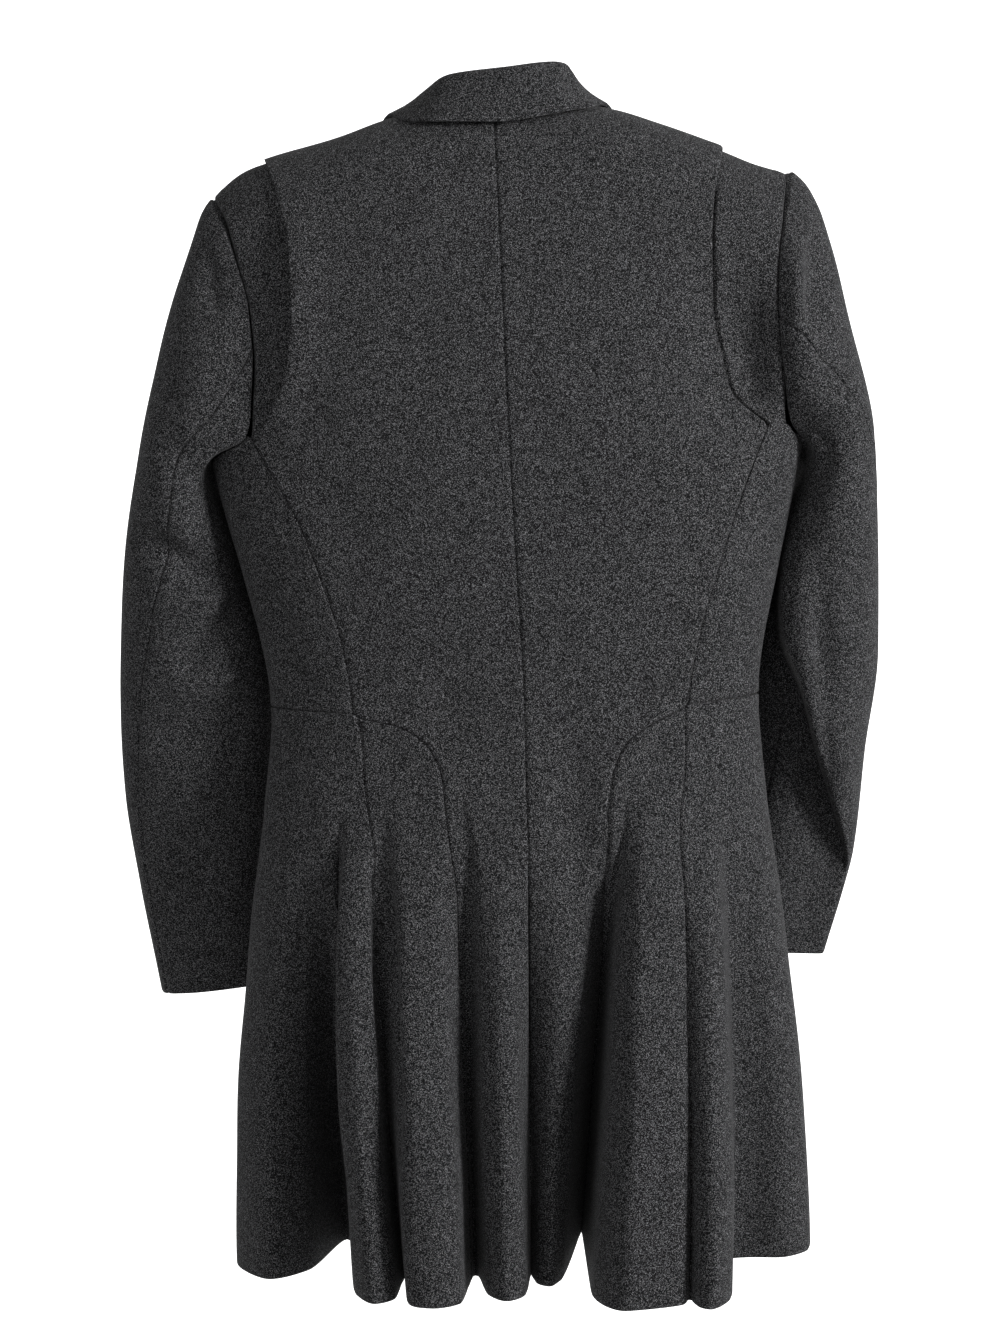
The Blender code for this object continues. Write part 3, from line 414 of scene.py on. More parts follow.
def flute_stations():
    """Hem and waist places of every crest, flank and valley in order, as one table."""
    *_, first_x, dip_x, dip_y = FLUTES[-1]
    first = round_turn(first_x, False)
    before = first
    rows = [(first, dip_x, dip_y, FLUTES[0][1])]
    for index, flute in enumerate(FLUTES):
        _, start, crest_x, near_x, near_y, top_x, top_y, far_x, far_y, after_x, dip_x, dip_y = flute
        front = FIRST_FRONT <= index <= LAST_FRONT
        crest = round_turn(crest_x, front)
        after = round_turn(after_x, front)
        if index == FIRST_FRONT - 1:
            after = SIDE_VALLEY_TURN
        if index == LAST_FRONT:
            after = 360 - SIDE_VALLEY_TURN
        if index == len(FLUTES) - 1:
            after = first + 360
        rows.append((before + FLANK * (crest - before), near_x, near_y, start))
        rows.append((crest, top_x, top_y, start))
        rows.append((after + FLANK * (crest - after), far_x, far_y, start))
        rows.append((after, dip_x, dip_y, start))
        before = after
    table = np.array(rows, float)
    return np.column_stack([np.arange(len(table)), table])


STATIONS = flute_stations()
NAMES = [flute[0] for flute in FLUTES]
LAST_STATION = len(STATIONS) - 1


def station(name, part):
    """Number of a flute's station: 1 near edge, 2 crest, 3 far edge, 4 valley after it."""
    return 4 * NAMES.index(name) + part


def station_at(turn):
    """Station number of a waist turn."""
    places = np.linspace(0, LAST_STATION, 1200)
    return np.interp(turn, smooth_line(STATIONS, 1, places), places)


def growth(u, down):
    start = smooth_line(STATIONS, 4, u)
    return smooth_line(GROWTH, 1, np.clip((down - start) / (HEM_DOWN - start), -0.1, 1.05))


def fluted(u, down, turn=None):
    """Point of the skirt's outer surface at a station number and a height."""
    turn = smooth_line(STATIONS, 1, u) if turn is None else turn
    grown = growth(u, down)[..., None]
    hem = np.stack([smooth_line(STATIONS, 2, u), smooth_line(STATIONS, 3, u), 0 * u], axis=-1)
    hem[..., 2] = -down
    return body(turn, down) * (1 - grown) + hem * grown


def waist_down(turn):
    return WAIST_DOWN - WAIST_RISE * np.sin(np.radians(turn)) ** 2


def column_for(side, left, right):
    return left if side == LEFT else right


def back_outer(side, place):
    """Across and down of a back panel's outer edge: free edge to 1, princess seam to 2, then the skirt."""
    across = column_for(side, 1, 3)
    upper = np.clip(place, -1, 1)
    lower = np.clip(place - 1, 0, 1)
    hem = np.clip(place - 2, 0, 2)
    low_down = smooth_line(PRINCESS, across + 1, 1.0) + skirt_fall(hem)
    bodice = []
    for column in (across, across + 1):
        free = smooth_line(FREE_EDGE, column, upper)
        bodice.append(np.where(place < 1, free, smooth_line(PRINCESS, column, lower)))
    tail = smooth_line(TAIL, column_for(side, 1, 2), low_down)
    return np.where(place > 2, tail, bodice[0]), np.where(place > 2, low_down, bodice[1])


def skirt_fall(share):
    """Drop below the waist, slow at first so that the rounded seam gets short rows."""
    return (HEM_DOWN - WAIST_MEETS) * (FALL_EVEN * share + (1 - FALL_EVEN) * share ** FALL_POWER)


def seam_station(side, down, table, settled):
    """Station number of a skirt seam: on its own line near the waist, on a fold line lower down."""
    x = side * smooth_line(table, column_for(side, 1, 2), down)
    free = station_at(turn_of(x, down) % 360)
    share = ease(*SEAM_SETTLES, down)
    return free * (1 - share) + settled * share


def centre_station(side):
    return LAST_STATION if side == LEFT else 0


def tail_station(side, down):
    settled = station("back_e", 3) + TAIL_HIDES if side == LEFT else station("back_i", 4) - TAIL_BESIDE
    return seam_station(side, down, TAIL, settled)


def skirt_seam_station(side, down):
    settled = station("back_c", 4) if side == LEFT else station("back_k", 4)
    return seam_station(side, down, SKIRT_SEAM, settled)


def back_panel(side):
    """Back panel from the neck to the hem; q runs from the centre seam to the outer edge."""
    top_x = side * smooth_line(FREE_EDGE, column_for(side, 1, 3), 0.0)
    top_down = shoulder_down(top_x)
    neck_down = shoulder_down(np.float64(0)) + NECK_DROP
    centre_top = smooth_line(CENTRE, 1, neck_down)
    meet = smooth_line(PRINCESS, column_for(side, 2, 4), 1.0)

    def place(q, t):
        outer_x, outer_down = back_outer(side, t)
        centre_down = np.where(t < 2, neck_down + (meet - neck_down) * t / 2, outer_down)
        centre_x = smooth_line(CENTRE, 1, centre_down)
        x = centre_x + (side * outer_x - centre_x) * q
        start_x = centre_top + (top_x - centre_top) * q
        neck = np.clip(1 - (start_x / NECK_HALF) ** 2, 0, 1) ** NECK_CURVE * NECK_DROP
        start = shoulder_down(start_x) + neck
        drop = (centre_down - neck_down) * (1 - q) + (outer_down - top_down) * q
        bodice_down = start * (1 - t / 2) + (neck_down * (1 - q) + top_down * q) * t / 2 + drop
        down = np.where(t < 2, bodice_down, outer_down)
        turn = turn_of(x, down)
        u = centre_station(side) * (1 - q) + tail_station(side, down) * q
        waist_turn = smooth_line(STATIONS, 1, u)
        waist_turn = np.where(waist_turn > 180, waist_turn - 360, waist_turn)
        settled = ease(*TURN_SETTLES, down)
        return fluted(u, down, turn * (1 - settled) + waist_turn * settled)

    return place


def free_edge_front(side, place):
    """Front armhole edge of the fronts, the back one's mean carried round plainly."""
    tip = smooth_line(FREE_EDGE, column_for(side, 1, 3), 0.0)
    mean = 0.5 * (smooth_line(FREE_EDGE, 1, place) + smooth_line(FREE_EDGE, 3, place))
    down = 0.5 * (smooth_line(FREE_EDGE, 2, place) + smooth_line(FREE_EDGE, 4, place))
    fade = 1 - ease(*SHOULDER_JOINS, place)
    own = smooth_line(FREE_EDGE, column_for(side, 2, 4), place)
    return mean * (1 - fade) + tip * fade, down * (1 - fade) + own * fade


def front_outer(side, place):
    """Across and down of a front's outer edge: free edge, then the front princess seam."""
    upper_x, upper_down = free_edge_front(side, np.clip(place, -1, 1))
    lower = np.clip(place - 1, 0, 1.1)
    lower_x = 0.5 * (smooth_line(PRINCESS, 1, lower) + smooth_line(PRINCESS, 3, lower))
    lower_down = 0.5 * (smooth_line(PRINCESS, 2, lower) + smooth_line(PRINCESS, 4, lower))
    return np.where(place < 1, upper_x, lower_x), np.where(place < 1, upper_down, lower_down)


def roll_line(side, down):
    """Across of the fold line from the neck to the break point, then of the front edge."""
    share = np.clip(down / BREAK_DOWN, 0, 1)
    return side * (ROLL_TOP - (ROLL_TOP + FRONT_EDGE) * share)


def front_panel(side):
    """Bodice front from the shoulder to the waist; q runs from the front edge to the outer edge."""
    top_x = side * smooth_line(FREE_EDGE, column_for(side, 1, 3), 0.0)
    top_down = shoulder_down(top_x)
    inner_top = shoulder_down(np.float64(side * ROLL_TOP))
    meet = front_outer(side, np.float64(2.0))[1]

    def place(q, t):
        outer_x, outer_down = front_outer(side, t)
        inner_down = inner_top + (meet - inner_top) * t / 2
        inner_x = roll_line(side, inner_down)
        x = inner_x + (side * outer_x - inner_x) * q
        start_x = side * ROLL_TOP + (top_x - side * ROLL_TOP) * q
        drop = (inner_down - inner_top) * (1 - q) + (outer_down - top_down) * q
        bow = shoulder_down(start_x) - (inner_top * (1 - q) + top_down * q)
        down = inner_top * (1 - q) + top_down * q + bow * (1 - t / 2) + drop
        return body(turn_of(x, down, True), down)

    return place


def side_panel(side):
    """Side body under the arm; q runs from the back princess seam to the front one."""
    def place(q, t):
        back_x, back_down = back_outer(side, 1 + t)
        front_x, front_down = front_outer(side, 1 + t)
        back_turn = np.abs(turn_of(side * back_x, back_down))
        front_turn = np.abs(turn_of(side * front_x, front_down, True))
        turn = back_turn + (front_turn - back_turn) * q
        level = back_down * (1 - q) + front_down * q
        sag = (side_top(side, turn) - level) * np.clip(SIDE_SAG * q * (1 - q), 0, 1)
        low = waist_down(turn) - (waist_down(back_turn) * (1 - q) + waist_down(front_turn) * q)
        down = level + sag * (1 - ease(*SAG_FADES, t)) + low * t
        return body(side * turn, down)

    return place


def armhole_turns():
    """Turns of the armhole's rows on the left back, the right back and either front."""
    left = np.abs(turn_of(-ARMHOLE[:, 1], ARMHOLE[:, 2]))
    right = turn_of(ARMHOLE[:, 3], ARMHOLE[:, 4])
    front = turn_of(ARMHOLE[:, 5], ARMHOLE[:, 6])
    front[0] = 0.5 * (left[0] + right[0])
    for turns in (left, right, front):
        turns[-1] = 90.0
    return np.column_stack([ARMHOLE[:, 0], left, right, front])


TURNS = armhole_turns()


def armhole_down(side, share, front):
    """Height of the armhole at a share of its way from the shoulder to the underarm."""
    back = smooth_line(ARMHOLE, column_for(side, 2, 4), share)
    mid = window(share, SHOULDER_JOINS + UNDERARM_JOINS)
    ahead = smooth_line(ARMHOLE, 6, np.clip(share, SHOULDER_JOINS[1], UNDERARM_JOINS[0]))
    return np.where(front, back * (1 - mid) + ahead * mid, back)


def armhole_turn(side, share, front):
    """Turn of the armhole on the body's surface, 0 to 90 on the back and 90 to 180 on the front."""
    back = smooth_line(TURNS, column_for(side, 1, 2), share)
    fade = 1 - ease(*SHOULDER_JOINS, share)
    ahead = smooth_line(TURNS, 3, share) * (1 - fade) + back * fade
    return np.where(front, 180 - ahead, back)


def side_top(side, turn):
    """Height of a side body's top edge, just under the armhole."""
    share = np.linspace(0.84, 1.0, 60)
    back = np.interp(turn, armhole_turn(side, share, False), armhole_down(side, share, False))
    ahead = np.interp(180 - turn, 180 - armhole_turn(side, share, True), armhole_down(side, share, True))
    return np.where(turn <= 90, back, ahead) + ARM_CLEAR


def under_panel(side):
    """Layer under the free edge: t runs from the back underarm over the shoulder to the front one."""
    def place(q, t):
        share = np.minimum(np.abs(t), 1.0)
        front = t > 0
        arm = share * UNDER_SHARE
        down = armhole_down(side, arm, front)
        turn = armhole_turn(side, arm, front)
        arm_x = half_width(np.float64(side), down) * np.abs(np.sin(np.radians(turn))) ** (2 / SQUARE)
        front_x, front_down = free_edge_front(side, share)
        back_x = smooth_line(FREE_EDGE, column_for(side, 1, 3), share)
        edge_x = np.where(front, front_x, back_x) - UNDER_TUCK
        back_down = smooth_line(FREE_EDGE, column_for(side, 2, 4), share)
        edge_down = np.where(front, front_down, back_down)
        x = arm_x + (edge_x - arm_x) * q
        far = down + (edge_down - down) * q + UNDER_REACH * ease(*REACH_FROM, share)
        arm_drop = down - smooth_line(ARMHOLE, column_for(side, 2, 4), 0.0)
        edge_drop = edge_down - smooth_line(FREE_EDGE, column_for(side, 2, 4), 0.0)
        ridge = shoulder_down(side * x) + arm_drop * (1 - q) + edge_drop * q
        near = 1 - ease(*RIDGE_ENDS, share)
        low = ridge * near + far * (1 - near)
        return body(turn_of(side * x, low, front), low)

    return place


def outward(run, fall):
    """Outward directions of a panel from two directions along it."""
    away = np.cross(fall, run)
    away /= np.linalg.norm(away, axis=-1, keepdims=True)
    return away


def tuck(points):
    """Inward move of the under front where the over front covers it."""
    return FRONT_TUCK * ease(TUCK_FROM, TUCK_TO, points[..., 0])


def with_tuck(panel):
    def place(q, t):
        points = panel(q, t)
        points[..., 1] -= tuck(points)
        return points

    return place


def name_of(base, side):
    return base + ("_left" if side == LEFT else "_right")


def row_panel(first, last):
    """Skirt surface with t as a height, between two seams given as station numbers by height."""
    def place(q, t):
        u = first(t) + (last(t) - first(t)) * q
        back = smooth_line(STATIONS, 1, first(t) + 0 * q)
        front = smooth_line(STATIONS, 1, last(t) + 0 * q)
        level = waist_down(back) * (1 - q) + waist_down(front) * q
        lift = waist_down(smooth_line(STATIONS, 1, u)) - level
        return fluted(u, t + lift * (1 - ease(WAIST_MEETS, WAIST_MEETS + LIFT_FADES, t)))

    return place


def front_edge_station(side):
    """Station number of a front's free edge, past the middle."""
    x = -side * FRONT_EDGE
    return float(station_at(round_turn(x, True)))


SIDE_FRONT = {RIGHT: station("front_p", 4), LEFT: station("front_flat", 4) + 4}


def arm_share(turn):
    """Share of the armhole's height at a turn round the sleeve."""
    return 0.5 * (1 - np.cos(np.radians(turn)))


def armhole(side, turn):
    """Armhole point at a turn round the sleeve: 0 at the shoulder, 90 at the back, 180 at the underarm."""
    share = arm_share(turn)
    front = turn > 180
    body_turn = armhole_turn(side, share, front)
    return body(side * body_turn, armhole_down(side, share, front)), share, side * body_turn


def sleeve(side):
    """Outer surface of a sleeve: q is the turn round it, t the ring number."""
    rings = SLEEVE_LEFT if side == LEFT else SLEEVE_RIGHT
    table = np.column_stack([np.arange(len(rings)), rings])

    def oval(turn, t):
        angle = np.radians(turn)
        reach = np.sign(np.cos(angle)) * np.abs(np.cos(angle)) ** SLEEVE_ROUND
        depth = np.sign(np.sin(angle)) * np.abs(np.sin(angle)) ** SLEEVE_ROUND
        value = [smooth_line(table, column, t) for column in range(1, 8)]
        x = 0.5 * (value[0] + value[2]) + 0.5 * (value[0] - value[2]) * reach
        down = 0.5 * (value[1] + value[3]) + 0.5 * (value[1] - value[3]) * reach
        half = np.where(depth > 0, value[5], value[6])
        return np.stack([side * x, value[4] - half * depth, -down], axis=-1)

    def place(turn, t):
        points = oval(turn, t)
        fade = (1 - ease(*SLEEVE_LEAVES, t))[..., None]
        ring, share, body_turn = armhole(side, turn)
        level = (UNDER_DROP - SWELL[side]) * (1 - ease(*SLEEVE_LEVELS, share))
        ring = ring - body_away(body_turn, -ring[..., 2]) * level[..., None]
        ring[..., 0] += side * SEAM_GAP
        points = points + fade * (ring - oval(turn, 0 * t))
        if side == RIGHT:
            points = points + overhang(turn, t)
        return points

    return place


def overhang(turn, t):
    """Step below the right sleeve's diagonal fold, with a swell above it that hangs over the step."""
    line = smooth_line(FOLD_LINE, 1, turn)
    step = 1 / (1 + np.exp(-np.clip((t - line) / FOLD_SHARP, -40, 40)))
    swell = FOLD_SWELL * np.exp(-((t - line + SWELL_RINGS) / SWELL_RINGS) ** 2)
    near = (t - line) / OVERLAP_RINGS
    slide = FOLD_OVERLAP * near * np.exp(-near ** 2) * window(turn, OVERLAP_TURNS)
    drop = FOLD_DEPTH * step * np.exp(-np.maximum(t - line, 0) / FOLD_FADE) - swell
    drop = drop * window(turn, FOLD_TURNS)
    return np.stack([slide, drop, 0 * drop], axis=-1)


def body_away(turn, down):
    """Outward direction of the body's surface."""
    down = np.maximum(down, shoulder_down(body(turn, down)[..., 0]) + RIDGE_CLEAR)
    run = body(turn + TURN_NUDGE, down) - body(turn - TURN_NUDGE, down)
    fall = body(turn, down + DOWN_NUDGE) - body(turn, down - DOWN_NUDGE)
    return outward(run, fall)


def lapel_panel(side):
    """Lapel lying on the front; q runs from the fold line to the edge, t from the gorge to the break."""
    def place(q, t):
        edge_x = smooth_line(LAPEL, 1, t)
        edge_down = smooth_line(LAPEL, 2, t)
        inner_down = GORGE_DOWN + (BREAK_DOWN - LAPEL_SHORT - GORGE_DOWN) * t
        inner_x = side * roll_line(side, inner_down) + LAPEL_CLEAR
        if side == LEFT:
            cross = roll_line(RIGHT, inner_down)
            inner_x = np.maximum(inner_x, -cross + UNDER_CLEAR)
        x = inner_x + (edge_x - inner_x) * q
        down = inner_down + (edge_down - inner_down) * q
        return body(turn_of(side * x, down, True), down)

    return place


def collar_section(place):
    """Stand foot, roll and leaf edge of the collar at a place round the neck."""
    value = [smooth_line(COLLAR, column, place) for column in range(1, 10)]
    return [np.stack(value[i:i + 3], axis=-1) for i in (0, 3, 6)]


def collar_panel(q, t):
    """Folded collar: q runs round the neck, t from the stand's foot over the roll to the leaf's edge."""
    foot, roll, edge = collar_section(q)
    fall = edge - roll
    flat = fall * np.array([1.0, 1.0, 0.0])
    flat = flat / np.maximum(np.linalg.norm(flat, axis=-1, keepdims=True), 1e-6)
    drop = np.array([0, 0, ROLL_DROP])
    inside = roll - flat * ROLL_WIDTH / 2 - drop
    outside = roll + flat * ROLL_WIDTH / 2 - drop
    result = np.zeros(q.shape + (3,))
    shares = np.column_stack([COLLAR_STOPS, np.eye(len(COLLAR_STOPS))])
    for column, stop in enumerate((foot, inside, roll, outside, edge), 1):
        result += smooth_line(shares, column, t)[..., None] * stop
    return result


# Finest step along a sheet, and the columns and rows kept close to its edges
STEP = 4.3
SLEEVE_STEP = 3.0
UNDER_STEP = 1.6
EDGE_STEPS = np.array((0.0, 0.7, 1.6, 2.8, 4.4, 7.0))

# Edges: how deep and wide a sewn edge rolls in, and the ridge that its pressed allowance makes
EDGE_ROLL = 1.4
EDGE_REACH = 1.0
EDGE_FOLD = 0.7
EDGE_BEVEL = 0.45
EDGE_ANGLE = 55
ALLOWANCE = 0.35
ALLOWANCE_ENDS = (8.0, 11.5)

# Deeper seam round the tail, and the allowance that turns in below a neighbouring piece
DEEP_ROLL = 2.0
DEEP_REACH = 1.2
LIP_REACH = 4.5
LIP_DEPTH = 2.6
LIP_SHARES = (1.0, 0.4)

# Free armhole edges: how far they stand off the layer below, how far in the lift reaches, its rows, the rows
# where the free edge ends, and the share of rawness that shows on the pressed one
EDGE_LIFT = {"back_left": 6.5, "back_right": 0.0, "front_left": 1.6, "front_right": 1.6}
LIFT_REACH = 17.0
LIFT_ROWS = (0.03, 0.4, 0.7, 0.99)
FREE_ENDS = (0.97, 1.03)
PRESSED = 0.3

# Under layer on the right: it swells up to the level of the back past the pressed edge
SWELL = {LEFT: 0.0, RIGHT: 2.7}
SWELL_FROM = (0.3, 1.9)
SWELL_DOWN = (45.0, 85.0)

# Creases fade in and out along these shares of their length, and belong to the side that the cloth faces
CREASE_FADES = (-0.2, 0.3, 0.7, 1.2)
FACING = 1.8

# Creases seen from the back: across and down of both ends, half width above and below, height or depth
BACK_CREASES = {
    "sleeve_left": [
        (-262, 298, -206, 332, 9, 12, -8.5),
        (-254, 354, -197, 339, 8, 8, 4.5),
        (-234, 396, -186, 343, 9, 9, -8.0),
        (-246, 409, -190, 397, 8, 9, 4.5),
        (-264, 441, -196, 427, 11, 16, -5.0),
        (-211, 95, -199, 148, 8, 8, -4.5),
        (-238, 178, -226, 262, 12, 12, -3.0),
        (-232, 214, -206, 262, 9, 9, 3.0),
        (-272, 500, -215, 548, 14, 16, -3.4),
    ],
    "sleeve_right": [
        (219, 352, 230, 505, 8, 8, -5.0),
        (223, 96, 213, 172, 9, 9, -6.0),
        (205, 110, 202, 185, 6, 6, 2.0),
        (184, 270, 252, 240, 14, 30, -9.0),
        (205, 602, 243, 553, 12, 14, -3.0),
    ],
    "side_left": [
        (-171, 343, -149, 384, 6, 6, -4.0),
        (-165, 385, -138, 412, 6, 6, -3.4),
    ],
    "side_right": [
        (138, 412, 158, 392, 7, 7, -2.2),
    ],
    "shoulder_under_right": [
        (160, 140, 168, 222, 15, 9, -3.0),
        (176, 70, 172, 128, 9, 9, 1.6),
    ],
    "shoulder_under_left": [
        (-168, 190, -160, 226, 7, 7, -2.4),
    ],
    "skirt_left": [
        (-130, 515, -129, 760, 13, 13, 12.0),
        (-104, 530, -101, 720, 7, 7, 4.0),
        (-93, 525, -88, 730, 6, 6, -9.0),
        (-86, 560, -79, 860, 7, 9, 4.0),
    ],
    "back_right": [
        (137, 112, 152, 222, 11, 11, -2.0),
        (112, 205, 158, 246, 16, 16, -2.4),
        (60, 395, 96, 432, 16, 16, -2.0),
        (36, 452, 42, 580, 18, 14, -6.0),
    ],
    "back_left": [
        (-128, 262, -100, 330, 18, 18, -2.4),
        (-60, 396, -40, 440, 15, 15, -1.8),
        (-146, 214, -120, 232, 12, 12, -2.0),
    ],
}

# Creases on the sides that face forward
FRONT_CREASES = {
    "sleeve_left": [
        (-256, 330, -200, 352, 10, 12, -7.0),
        (-250, 398, -198, 372, 10, 12, -6.0),
        (-262, 300, -210, 296, 12, 12, -4.0),
        (-262, 520, -212, 560, 14, 14, -3.2),
    ],
    "sleeve_right": [
        (190, 350, 246, 322, 10, 12, -7.0),
        (186, 368, 240, 396, 10, 12, -6.0),
        (202, 292, 250, 290, 12, 12, -4.0),
        (180, 580, 236, 540, 14, 14, -3.2),
    ],
    "front_left": [
        (-150, 250, -96, 286, 14, 14, -2.6),
        (-128, 404, -88, 424, 12, 12, -2.2),
    ],
    "front_right": [
        (92, 290, 150, 248, 14, 14, -2.6),
        (84, 422, 126, 402, 12, 12, -2.2),
    ],
}

# Right shoulder: how far it falls toward the sleeve head, where that starts and ends across and down
SHOULDER_FALL = 5.5
FALL_ACROSS = (120.0, 208.0)
FALL_DOWN = (60.0, 150.0)

# Ridge along the right armhole seam: height, place across, half width inward and outward, where it runs
SEAM_RIDGE = 14.0
RIDGE_ACROSS = 203.0
RIDGE_HALF = (25.0, 16.0)
RIDGE_DOWN = (65.0, 130.0, 200.0, 240.0)
RIDGE_BEHIND = (0.0, 25.0)

# Hollow along the right free edge, in the same terms
HOLLOW = 10.0
HOLLOW_ACROSS = 167.0
HOLLOW_HALF = (42.0, 20.0)
HOLLOW_DOWN = (115.0, 180.0, 218.0, 258.0)

# Slow unevenness of the hung cloth: wave length across and down, phase, height
WAVES = [
    (151, 233, 0.4, 0.45),
    (97, 127, 2.1, 0.35),
    (61, 171, 4.4, 0.25),
]

# Sleeve head: fullness that stands up just past the armhole seam, in rings and in height
HEAD_RINGS = (0.05, 0.5, 0.5, 1.5)
HEAD_PUFF = 2.2
HEAD_RISE = 3.0
RISE_RINGS = (0.0, 0.16, 0.3, 1.1)

# Fullness of the sleeve's inner front, which closes the view between arm and body
BULGE = (9.0, 7.0)
BULGE_TURN = 216.0
BULGE_WIDE = 34.0
BULGE_RINGS = ((0.3, 1.2, 4.6, 5.6), (2.6, 3.4, 4.6, 5.6))


def even_rows(panel, start, end, step):
    """Row places at even steps along a panel's middle, with a few rows close to each end."""
    fine = np.linspace(start, end, 500)
    line = panel(np.full(500, 0.5), fine)
    run = np.concatenate([[0.0], np.cumsum(np.linalg.norm(np.diff(line, axis=0), axis=1))])
    last = run[-1] - EDGE_STEPS[::-1]
    count = max(int(run[-1] / step), 6)
    middle = np.linspace(EDGE_STEPS[-1], last[0], count)[1:-1]
    return np.interp(np.concatenate([EDGE_STEPS, middle, last]), run, fine)


def close_columns(panel, rows, step):
    """Column places of every row, a few of them at fixed distances from both edges."""
    q, t = np.meshgrid(np.linspace(0, 1, 60), rows)
    width = np.linalg.norm(np.diff(panel(q, t), axis=1), axis=2).sum(axis=1)
    count = max(int(width.max() / step), 6)
    reach = np.minimum(EDGE_STEPS[-1], width / 4)[:, None]
    near = EDGE_STEPS / EDGE_STEPS[-1] * reach
    middle = reach + (width[:, None] - 2 * reach) * np.linspace(0, 1, count)[None, 1:-1]
    return np.concatenate([near, middle, width[:, None] - near[:, ::-1]], axis=1) / width[:, None]


def directions(points, centre):
    """Outward directions of a point grid."""
    away = np.cross(np.gradient(points, axis=0), np.gradient(points, axis=1))
    away /= np.maximum(np.linalg.norm(away, axis=-1, keepdims=True), 1e-9)
    return away if np.sum(away * (points - np.array(centre, float))) > 0 else -away


def run_along(points, axis):
    """Length along the cloth from a grid's first row or column."""
    step = np.linalg.norm(np.diff(points, axis=axis), axis=2)
    start = np.zeros_like(step[:1] if axis == 0 else step[:, :1])
    return np.concatenate([start, np.cumsum(step, axis=axis)], axis=axis)


def edge_relief(kind, distance):
    """Height of the cloth near an edge: sewn, folded or raw."""
    near = np.exp(-(distance / EDGE_REACH) ** 2)
    pressed = ALLOWANCE * (1 - ease(*ALLOWANCE_ENDS, distance))
    if kind == "sewn":
        return pressed - EDGE_ROLL * near
    if kind == "deep":
        return pressed - DEEP_ROLL * np.exp(-(distance / DEEP_REACH) ** 2)
    if kind == "fold":
        return -EDGE_FOLD * near
    return 0.0 * distance


def crease_relief(table, points, weight):
    """Soft troughs and ridges listed one by one, on the side that a weight picks."""
    total = np.zeros(points.shape[:2])
    for start_x, start_down, end_x, end_down, above, below, depth in table:
        run_x, run_down = end_x - start_x, end_down - start_down
        length = math.hypot(run_x, run_down)
        off_x, off_down = points[..., 0] - start_x, -points[..., 2] - start_down
        place = (off_x * run_x + off_down * run_down) / length ** 2
        across = (off_x * run_down - off_down * run_x) / length
        half = np.where(across > 0, above, below)
        total += depth * np.exp(-(across / half) ** 2) * window(place, CREASE_FADES)
    return total * weight


def swelling(place, middle, half):
    """Bell shape round a middle place, with its own half width on either side."""
    return np.exp(-((place - middle) / np.where(place < middle, *half)) ** 2)


def fallen(points):
    """Points of a sheet with the right shoulder's fall, and the ridge and hollow beside its armhole."""
    x, down = points[..., 0], -points[..., 2]
    fall = ease(*FALL_ACROSS, x) * (1 - ease(*FALL_DOWN, down))
    ridge = SEAM_RIDGE * swelling(x, RIDGE_ACROSS, RIDGE_HALF) * window(down, RIDGE_DOWN)
    hollow = HOLLOW * swelling(x, HOLLOW_ACROSS, HOLLOW_HALF) * window(down, HOLLOW_DOWN)
    lower = points.copy()
    lower[..., 1] += (hollow - ridge) * ease(*RIDGE_BEHIND, -points[..., 1])
    lower[..., 2] -= SHOULDER_FALL * fall
    return lower


def waver(points):
    total = np.zeros(points.shape[:2])
    for across, down, phase, height in WAVES:
        one = np.sin(2 * math.pi * points[..., 0] / across + phase)
        two = np.sin(2 * math.pi * points[..., 2] / down - phase)
        total += height * one * two
    return total


def dressed(name, points, away, edges, group, extra):
    """Points of a sheet with its edges, creases and unevenness."""
    across, along = run_along(points, 1), run_along(points, 0)
    far_across, far_along = across[:, -1:] - across, along[-1:] - along
    height = waver(points)
    for kind, distance in zip(edges, (across, far_across, along, far_along)):
        if isinstance(kind, tuple):
            raw = kind[1][:, None]
            height = height + edge_relief(kind[0], distance) * (1 - raw)
            lift = EDGE_LIFT[name] * kind[2][:, None]
            height = height + lift * np.exp(-(distance / LIFT_REACH) ** 2)
        else:
            height = height + edge_relief(kind, distance)
    if extra:
        height = height + extra(points)
    group = group or name
    to_back = np.clip(-FACING * away[..., 1], 0, 1)
    to_front = np.clip(FACING * away[..., 1], 0, 1)
    height = height + crease_relief(BACK_CREASES.get(group, ()), points, to_back)
    height = height + crease_relief(FRONT_CREASES.get(group, ()), points, to_front)
    return points + away * height[..., None]


def deselect():
    bpy.ops.object.select_all(action="DESELECT")


def pick(piece):
    """Makes a piece the one that is selected and active."""
    deselect()
    piece.select_set(True)
    bpy.context.view_layer.objects.active = piece


def add_modifier(piece, kind, **settings):
    """Modifier added with its settings and applied at once."""
    bpy.context.view_layer.objects.active = piece
    made = piece.modifiers.new(kind.title(), kind)
    for key, value in settings.items():
        setattr(made, key, value)
    bpy.ops.object.modifier_apply(modifier=made.name)


